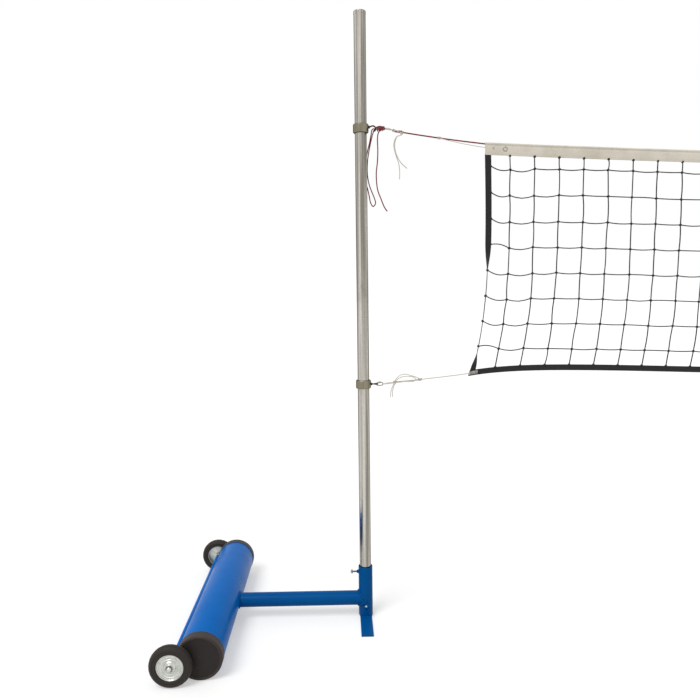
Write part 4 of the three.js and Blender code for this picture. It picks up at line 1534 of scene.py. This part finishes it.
@dataclass
class NetRopes(WheeledBase):
    """The ropes that hold one end of the net, with their knots, ties and tails."""

    pitch: float = 0.0013
    top_diameter: float = 0.006
    bottom_diameter: float = 0.0045

    def free(self, piece: str, tie: Tie, *nodes: str) -> None:
        """Makes a free cord and says what it is.

        Args:
            piece: The cord's name without its side.
            tie: The cord's facts.
            *nodes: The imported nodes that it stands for, without their side.
        """
        line = spline(tie.route, self.pitch)
        form = cord_form(line, tie.diameter / 2, tie.lay, 14, taper=tie.diameter / 3)
        obj = form.move(self.side.matrix).build(self.name(piece), 60)
        self.palette.dress(obj, tie.slot, *(self.name(node) for node in nodes), body="net")

    def held(self, piece: str, lines: Iterable[tuple[Sequence[Vector], bool]], diameter: float, slot: Slot, lay: Lay, *nodes: str) -> None:
        """Makes rope that is pulled tight, such as a knot or a winding.

        Args:
            piece: The piece's name without its side.
            lines: Each centre line, and whether it is closed.
            diameter: The rope's thickness.
            slot: The record's slot.
            lay: How the yarns run.
            *nodes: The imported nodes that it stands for, without their side.
        """
        form = Form()
        for line, closed in lines:
            form.add(cord_form(line, diameter / 2, lay, 14, closed, 0 if closed else diameter / 3))
        obj = form.move(self.side.matrix).build(self.name(piece), 60)
        self.palette.dress(obj, slot, *(self.name(node) for node in nodes), body="net")

    def build(self) -> None:
        """Makes every rope at this end."""
        self.free("red_lashing", LASHING, "lashing")
        self.free("red_lashing_loop", LASHING_LOOP)
        self.free("white_tie", TIE, "tie")
        self.free("white_tie_tail", TIE_TAIL)
        self.free("white_bow", BOW, "bow")
        self.free("white_bow_loop", BOW_LOOP)
        self.free("white_bow_tail", BOW_TAIL)
        self.top()
        self.bottom()

    def top(self) -> None:
        """The head rope's end, its eye and the knots that tie it to the hook."""
        main = spline(in_metres((150, 0.5, 2051.5), (167, 0, 2047.5), (300, 0, 2026), (410, 0, 2010.5), (509, 0, 1998)), self.pitch)
        eye = spline(
            in_metres(
                (156, 0.5, 2051), (146, 3.2, 2053), (137, 4, 2056.5), (130, 1, 2057.5), (129, -2, 2054), (136, -4, 2050.5), (147, -3, 2048.5),
                (156, -1, 2048.5),
            ),
            self.pitch,
        )
        whip = coil((0.153, 0, 2.0503), (0.166, 0, 2.0478), 0.0042, 4.2, 0.0012)
        self.held("head_rope_end", [(main, False), (eye, False)], 0.006, Slot.RED, Lay.TWISTED, "top_rope")
        stay = spline(in_metres((322, -4.5, 2021), (345, -4.8, 2015), (400, -3.5, 2002.5), (460, -2.5, 1991), (509, -2.2, 1983)), self.pitch)
        turns = coil((0.312, 0, 2.0243), (0.324, 0, 2.0226), 0.0046, 3.2, 0.0012)
        self.held("headband_stay", [(stay, False), (turns, False)], 0.003, Slot.WHITE, Lay.BRAIDED)
        self.held("head_rope_whipping", [(whip, False)], 0.0026, Slot.RED, Lay.SMOOTH)
        wraps = coil((0.064, 0, 2.0605), (0.0905, 0, 2.0625), 0.0078, 4.3, self.pitch)
        fist = trefoil((0.0915, -0.004, 2.0635), 0.0075, (1, 0, 0.2), self.pitch)
        self.held("red_knot", [(wraps, False), (fist, True)], 0.0046, Slot.RED, Lay.BRAIDED)
        hitch = trefoil((0.166, -0.002, 2.0462), 0.0085, (1, 0, -0.3), self.pitch)
        bend = spline(
            in_metres((92, -1, 2062), (104, 2, 2060.5), (120, 3.5, 2058.5), (134, 3, 2059), (140, -1, 2056), (137, -5, 2051), (128, -6, 2050)),
            self.pitch,
        )
        self.held("white_knot", [(hitch, True), (bend, False)], 0.0038, Slot.WHITE, Lay.BRAIDED)

    def bottom(self) -> None:
        """The bottom rope's end, doubled as far as its hitch, with the winding on the net's corner."""
        main = spline(in_metres((81.5, 0, 1020.5), (92, 2.6, 1021.5), (130, 2.6, 1026), (240, 1.5, 1036), (400, 0, 1053), (450, 0, 1059.8)), self.pitch)
        double = spline(in_metres((81.5, 0, 1019.5), (92, -2.6, 1019.5), (130, -2.6, 1024), (180, -2.6, 1029), (238, -1.5, 1034.5)), self.pitch)
        nose = spline(in_metres((92, 2.6, 1021.5), (84, 3.1, 1020.6), (80.2, 0, 1020), (84, -3.1, 1019.4), (92, -2.6, 1019.5)), self.pitch)
        hitch = coil((0.231, 0, 1.0347), (0.2455, 0, 1.0366), 0.0044, 3.3, self.pitch)
        self.held("foot_rope_end", [(main, False), (double, False), (nose, False)], 0.0046, Slot.WHITE, Lay.BRAIDED, "bottom_rope")
        fist = trefoil((0.131, -0.003, 1.0262), 0.0082, (1, 0, 0.1), self.pitch)
        self.held("white_hitches", [(hitch, False), (fist, True)], 0.0037, Slot.WHITE, Lay.BRAIDED)
        route = []
        for i in range(7 * 16):
            angle = FULL_TURN * i / 16
            x = 0.4445 + 0.0052 * i / 16
            rise = 1.0585 + 0.16 * (x - 0.4445)
            route.append((x + 0.0014 * math.sin(angle), 0.0046 * math.sin(angle), rise + 0.0068 * math.cos(angle)))
        self.held("corner_winding", [(spline(route, self.pitch), False)], 0.0032, Slot.WHITE, Lay.BRAIDED)


# Net


@dataclass
class Net:
    """The net: headband, netting, tapes, edge cords, stitching and eyelets."""

    palette: Palette
    beads: Grower
    knots: Grower
    half: float = 4.877
    height: float = 0.9144
    top: float = 2.005
    sag: float = 0.12
    corner_drop: float = 0.044
    corner_reach: float = 0.2
    corner_pull: float = 0.013
    bottom_pull: float = 0.05
    side_bulge: float = 0.008
    side_twist: float = math.radians(80)
    band: float = 0.05
    tape: float = 0.025
    columns: int = 96
    first_row: float = 0.093
    row_pitch: float = 0.105
    rows: int = 8

    def share(self, x: float) -> float:
        """How much of the corner's pull reaches a place along the net."""
        return math.exp(-(self.half - abs(x)) / self.corner_reach)

    def drop(self, x: float) -> float:
        """The net's height at a place along it."""
        return self.height + self.corner_drop * self.share(x)

    def point(self, x: float, depth: float, y: float = 0.0) -> Vector:
        """A point of the net's middle surface, by its place along the band and its depth from 0 to 1."""
        share = self.share(x)
        pull = (self.bottom_pull + self.corner_pull * share) * depth**4
        bulge = self.side_bulge * share * math.sin(math.pi * depth)
        lean = x / self.half * pull - math.copysign(bulge, x)
        top = self.top - self.sag * (1 - (x / self.half) ** 2)
        return Vector((x + lean, y, top - depth * self.drop(x)))

    def down(self, x: float, distance: float, y: float = 0.0) -> Vector:
        """A point at a distance down from the top edge, or up from the bottom edge if negative."""
        drop = self.drop(x)
        return self.point(x, (distance if distance >= 0 else drop + distance) / drop, y)

    def places(self, pitch: float) -> list[float]:
        """Places along the whole net, about a pitch apart."""
        count = round(2 * self.half / pitch)
        return [-self.half + 2 * self.half * i / count for i in range(count + 1)]

    def build(self) -> None:
        """Makes the whole net."""
        self.headband()
        self.bottom_tape()
        for side in Side:
            self.side_tape(side)
            self.eyelet(side)
        self.netting()
        self.stitching()

    def band_wave(self, x: float, distance: float) -> float:
        """How far the headband stands out of its plane."""
        end = math.exp(-(self.half - abs(x)) / 0.35)
        soft = wrap_noise(x * 5.5, distance * 12, 3.1) * (0.0018 + 0.0016 * end)
        pucker = wrap_noise(x * 34, distance * 26, 8.2) * 0.0007
        return soft + pucker

    def strip(self, piece: str, slot: Slot, node: str, section: list[tuple[float, float]], wave: Callable[[float, float], float]) -> bpy.types.Object:
        """A band along the whole net.

        Args:
            piece: The piece's name.
            slot: The record's slot.
            node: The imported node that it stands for.
            section: Distances from the net's edge, each with half the band's thickness there.
            wave: How far the band stands out of its plane at a place and distance.

        Returns:
            The piece.
        """
        rings = []
        for x in self.places(0.0085):
            front = [self.down(x, d, wave(x, d) - t) for d, t in section]
            back = [self.down(x, d, wave(x, d) + t) for d, t in reversed(section)]
            rings.append(front + back)
        girth = 2 * abs(section[-1][0] - section[0][0])
        return self.palette.dress(skin(rings, caps=True, span=(2 * self.half, girth)).build(piece, 70), slot, node)

    def headband(self) -> None:
        """The folded headband, with the head rope's bulge along its top and a hem at its foot."""
        section = [
            (0.0002, 0.0004), (0.0012, 0.0020), (0.0030, 0.0032), (0.0055, 0.0034), (0.0080, 0.0024), (0.0105, 0.0010), (0.0130, 0.0016),
            (0.0200, 0.0019), (0.0280, 0.0017), (0.0360, 0.0019), (0.0420, 0.0018), (0.0455, 0.0010), (0.0480, 0.0017), (0.0495, 0.0014),
            (0.0500, 0.0004),
        ]
        band = self.strip("vinyl_headband", Slot.VINYL, "headband", section, self.band_wave)

    def tape_wave(self, x: float, distance: float) -> float:
        """How far the bottom tape stands out of its plane."""
        return wrap_noise(x * 4, distance * 20, 6.4) * 0.0016 + wrap_noise(x * 22, 0.5, 1.2) * 0.0004

    def bottom_tape(self) -> None:
        """The tape along the bottom, with a rope in its lower edge."""
        section = [
            (-0.0250, 0.0004), (-0.0245, 0.0011), (-0.0225, 0.0010), (-0.0180, 0.0009), (-0.0120, 0.0009), (-0.0085, 0.0010), (-0.0065, 0.0018),
            (-0.0040, 0.0023), (-0.0018, 0.0017), (-0.0004, 0.0004),
        ]
        tape = self.strip("bottom_webbing", Slot.TAPE, "bottom_tape", section, self.tape_wave)

    def twist(self, share: float) -> float:
        """How far the side tape has turned at a share of the way down."""

        def smooth(low: float, high: float) -> float:
            """A share that rises smoothly from 0 to 1 between two values."""
            part = min(max((share - low) / (high - low), 0), 1)
            return part * part * (3 - 2 * part)

        return self.side_twist * (smooth(0.38, 0.56) - 0.75 * smooth(0.9, 1.0))

    def on_tape(self, side: Side, share: float, across: float, out: float = 0.0) -> Vector:
        """A point of the side tape.

        Args:
            side: The end of the net.
            share: How far down the tape, from 0 to 1.
            across: How far from its middle line, in metres.
            out: How far out of its surface.

        Returns:
            The point.
        """
        turn = self.twist(share)
        centre = side.sign * (self.half - self.tape / 2)
        x = centre + across * math.cos(turn)
        low, high = self.band - 0.004, self.drop(x) - self.tape + 0.004
        ripple = 0.0009 * wrap_noise(share * 9, across * 30, 4.0 + side.sign) + out
        spot = self.down(x, low + (high - low) * share, across * math.sin(turn))
        return spot + Vector((math.sin(turn), -math.cos(turn), 0)) * ripple

    def side_tape(self, side: Side) -> None:
        """The tape down one end, with its edge cord and a twist part way down."""
        section = [(-0.0125, 0.0002), (-0.0120, 0.0010), (-0.0100, 0.0011), (-0.0050, 0.0008), (0.0, 0.0008), (0.0050, 0.0008), (0.0100, 0.0011), (0.0120, 0.0010), (0.0125, 0.0002)]
        rings = []
        for i in range(181):
            share = i / 180
            front = [self.on_tape(side, share, a, t) for a, t in section]
            back = [self.on_tape(side, share, a, -t) for a, t in reversed(section)]
            rings.append(front + back)
        length = self.height - self.band - self.tape + 0.008
        form = skin(rings, caps=True, span=(length, 2 * self.tape))
        tape = self.palette.dress(form.build(f"side_webbing_{side.value}", 70), Slot.TAPE, f"side_tape_{side.value}")
        edge = spline([self.on_tape(side, i / 40, side.sign * 0.0128, 0.0002) for i in range(41)], 0.002)
        cord = cord_form(edge, 0.0011, Lay.TWISTED, 8, taper=0.001).build(f"edge_cord_{side.value}", 60)
        self.palette.dress(cord, Slot.RED, body="net", finish=self.palette.edge_yarn)

    def eyelet(self, side: Side) -> None:
        """The pressed eyelet near one end of the headband, on both faces."""
        spot = self.down(side.sign * (self.half - 0.082), 0.024)
        wave = self.band_wave(side.sign * (self.half - 0.082), 0.024)
        ring = ease([(0.0072, 0.0), (0.0070, 0.0024), (0.0078, 0.0033), (0.0089, 0.0033), (0.0097, 0.0024), (0.0097, 0.0)], 0.0006)
        form = Form()
        for end in End:
            form.add(turned(ring, 56).move(Matrix.Translation((spot.x, wave, spot.z)) @ end.matrix))
        self.palette.dress(form.build(f"eyelet_{side.value}"), Slot.ZINC, body="net", finish=self.palette.old_zinc)

    def netting(self) -> None:
        """The netting: square cells tied from cord, slacker next to the end tapes."""
        cell = 2 * self.half / self.columns
        points: list[Vector] = []
        tied: list[float] = []
        edges: list[tuple[int, int]] = []

        def add(point: Vector, knot: float = 0.0) -> int:
            """Keeps a point and returns its number."""
            points.append(point)
            tied.append(knot)
            return len(points) - 1

        def run(start: int, end: int, slack: Vector, pieces: int) -> None:
            """Joins two kept points by a line with some slack."""
            last = start
            for k in range(1, pieces):
                t = k / pieces
                last_new = add(points[start].lerp(points[end], t) + slack * math.sin(math.pi * t))
                edges.append((last, last_new))
                last = last_new
            edges.append((last, end))

        distances = [self.band - 0.001] + [self.first_row + self.row_pitch * j for j in range(self.rows)] + [-(self.tape - 0.001)]
        grid: list[list[int]] = []
        for i in range(1, self.columns):
            x = -self.half + cell * i
            line = []
            for j, distance in enumerate(distances):
                loose = 0.0 if j in (0, len(distances) - 1) else 1.0
                shift = [wrap_noise(i * 1.7, j * 2.3, k * 5.1) * loose for k in range(3)]
                near_end = min(i - 1, self.columns - 1 - i)
                sunk = loose * 0.014 * math.exp(-near_end / 1.4)
                spot = self.down(x + shift[0] * 0.004, distance + sunk + shift[1] * 0.0045, shift[2] * 0.005)
                line.append(add(spot, 1.0))
            grid.append(line)
        for i, line in enumerate(grid):
            for j in range(len(line) - 1):
                bend = wrap_noise(i * 2.9, j * 3.7, 0.4)
                run(line[j], line[j + 1], Vector((bend * 0.005, wrap_noise(i * 1.3, j * 4.1, 7) * 0.004, 0)), 3)
        for j in range(1, len(distances) - 1):
            for i in range(self.columns - 2):
                edge = min(i, self.columns - 3 - i)
                sink = 0.0015 + 0.008 * math.exp(-edge / 1.0) + 0.006 * wrap_noise(i * 1.9, j * 2.7, 2.2)
                run(grid[i][j], grid[i + 1][j], Vector((0, wrap_noise(i, j, 9) * 0.004, -sink)), 4)
            for side, line in ((Side.LEFT, grid[0]), (Side.RIGHT, grid[-1])):
                drop = self.drop(side.sign * self.half)
                share = (distances[j] + 0.004 - self.band) / (drop - self.band - self.tape)
                hold = add(self.on_tape(side, share, -side.sign * 0.009), 1.0)
                dip = -0.008 if j % 4 == 0 else 0.011 + 0.006 * wrap_noise(j * 1.6, side.sign, 3)
                run(hold, line[j], Vector((0, 0, -dip)), 6)
        mesh = bpy.data.meshes.new("threads")
        mesh.from_pydata(points, edges, [])
        mesh.attributes.new("knot", "FLOAT", "POINT").data.foreach_set("value", tied)
        net = self.knots.grow(link("threads", mesh), "knotted_netting", Finish=self.palette.materials[Slot.NETTING])
        self.palette.dress(net, Slot.NETTING, "netting")

    def stitching(self) -> None:
        """The rows of stitches along the headband and the tapes, and the short bar tacks near its ends."""
        rows = []
        for face in (-1, 1):
            for distance, lift in ((0.0105, 0.0010), (0.0455, 0.0010)):
                rows.append([self.down(x, distance, self.band_wave(x, distance) + face * (lift + 0.0002)) for x in self.places(0.012)])
        row = self.beads.grow(
            lines_object(rows), "band_stitches", Pitch=0.0075, Bead_Size=(0.0046, 0.0009, 0.0009), Seed=21, Finish=self.palette.materials[Slot.WHITE]
        )
        self.palette.dress(row, Slot.WHITE, body="net")
        rows = [[self.down(x, -0.0088, self.tape_wave(x, -0.0088) + face * 0.0011) for x in self.places(0.012)] for face in (-1, 1)]
        rows += [
            [self.on_tape(side, i / 120, across, face * 0.0011) for i in range(3, 118)] for side in Side for across in (-0.0085, 0.0085) for face in (-1, 1)
        ]
        row = self.beads.grow(
            lines_object(rows), "tape_stitches", Pitch=0.0085, Bead_Size=(0.005, 0.0009, 0.0008), Seed=22, Finish=self.palette.materials[Slot.NETTING]
        )
        self.palette.dress(row, Slot.NETTING, body="net")
        bars = []
        for side in Side:
            for face in (-1, 1):
                for distance in (0.0205, 0.0255):
                    line = []
                    for k in range(5):
                        x = side.sign * (self.half - 0.031 - 0.0016 * k)
                        line.append(self.down(x, distance, self.band_wave(x, distance) + face * 0.0020))
                    bars.append(line)
        row = self.beads.grow(
            lines_object(bars), "bar_tacks", Pitch=0.0008, Bead_Size=(0.0011, 0.0010, 0.0016), Seed=23, Finish=self.palette.materials[Slot.NETTING]
        )
        self.palette.dress(row, Slot.NETTING, body="net")


# Studio


@dataclass
class Studio:
    """The camera, a pale floor and plain soft light."""

    stand: Matrix
    camera_place: tuple[float, float, float] = (-0.0982, -2.7629, 1.4574)
    yaw: float = 0.0157
    pitch: float = -0.1055
    roll: float = -0.0129
    lens: float = 34.18
    fill: float = 0.62
    sun_power: float = 1.7
    floor_half: float = 40.0

    def build(self) -> None:
        """Makes the camera, the lights and the floor."""
        self.camera()
        self.world()
        self.sun()
        self.floor()
        view = bpy.context.scene.view_settings
        view.view_transform = "Standard"

    def camera(self) -> None:
        """The camera."""
        look = Vector((math.sin(self.yaw) * math.cos(self.pitch), math.cos(self.yaw) * math.cos(self.pitch), math.sin(self.pitch)))
        right = Vector((math.cos(self.yaw), -math.sin(self.yaw), 0))
        up = right.cross(look)
        turn = Matrix.Rotation(-self.roll, 3, look)
        right, up = turn @ right, turn @ up
        data = bpy.data.cameras.new("camera")
        data.lens, data.sensor_width, data.clip_end = self.lens, 36, 200
        data.dof.use_dof = False
        camera = link("camera", data)
        basis = Matrix((right, up, -look)).transposed().to_4x4()
        camera.matrix_world = Matrix.Translation(self.stand @ Vector(self.camera_place)) @ basis
        bpy.context.scene.camera = camera

    def world(self) -> None:
        """White to the eye, to gloss and through glass, and an even fill for the rest."""
        world = bpy.data.worlds.new("studio")
        world.use_nodes = True
        bpy.context.scene.world = world
        tree = world.node_tree
        new, join = tree.nodes.new, tree.links.new
        background = tree.nodes["Background"]
        background.inputs["Color"].default_value = (1, 1, 1, 1)
        path = new("ShaderNodeLightPath")

        def sum_of(kind: str, first: Any, second: Any) -> bpy.types.NodeSocket:
            """The result of a sum on two values."""
            node = new("ShaderNodeMath")
            node.operation = kind
            for socket, value in zip(node.inputs, (first, second)):
                if isinstance(value, bpy.types.NodeSocket):
                    join(value, socket)
                else:
                    socket.default_value = value
            return node.outputs[0]

        seen = sum_of("MAXIMUM", path.outputs["Is Camera Ray"], path.outputs["Is Glossy Ray"])
        seen = sum_of("MAXIMUM", seen, path.outputs["Is Transmission Ray"])
        level = sum_of("ADD", self.fill, sum_of("MULTIPLY", seen, 1.0 - self.fill))
        join(level, background.inputs["Strength"])

    def sun(self) -> None:
        """One large soft light from the upper left front."""
        data = bpy.data.lights.new("soft_sun", "SUN")
        data.energy, data.angle = self.sun_power, math.radians(28)
        light = link("soft_sun", data)
        light.rotation_euler = Vector((-0.55, -0.75, 1.35)).to_track_quat("Z", "Y").to_euler()

    def floor(self) -> None:
        """A white floor that still shows soft shadows."""
        h = self.floor_half
        form = Form([Vector(p) for p in ((-h, -h, 0), (h, -h, 0), (h, h, 0), (-h, h, 0))], [(0, 1, 2, 3)], [((0, 0), (1, 0), (1, 1), (0, 1))])
        floor = form.build("floor")
        shade = Shader("floor_white")
        path = shade.add("ShaderNodeLightPath")
        seen = shade.sum("MAXIMUM", path.outputs["Is Camera Ray"], path.outputs["Is Glossy Ray"])
        seen = shade.sum("MAXIMUM", seen, path.outputs["Is Transmission Ray"])
        glow = shade.sum("MULTIPLY", seen, 0.4)
        tint = (0.62, 0.62, 0.615, 1)
        floor.data.materials.append(
            shade.finish(Base_Color=tint, Roughness=0.9, Specular_IOR_Level=0.1, Emission_Color=(1, 1, 1, 1), Emission_Strength=glow)
        )


def write_sizes() -> None:
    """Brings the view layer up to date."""
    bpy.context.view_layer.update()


def main() -> None:
    """Makes the studio, the ropes, the standards and the net."""
    logging.basicConfig(level=logging.INFO, format="%(message)s")
    palette = Palette()
    beads, knots = beads_on_lines(), knotted_mesh()
    Studio(Side.LEFT.matrix).build()
    for side in Side:
        NetRopes(side, palette, beads).build()
    for side in Side:
        WheeledBase(side, palette, beads).build()
        PoleAndCollars(side, palette, beads).build()
    Net(palette, beads, knots).build()
    write_sizes()


if __name__ == "__main__":
    main()
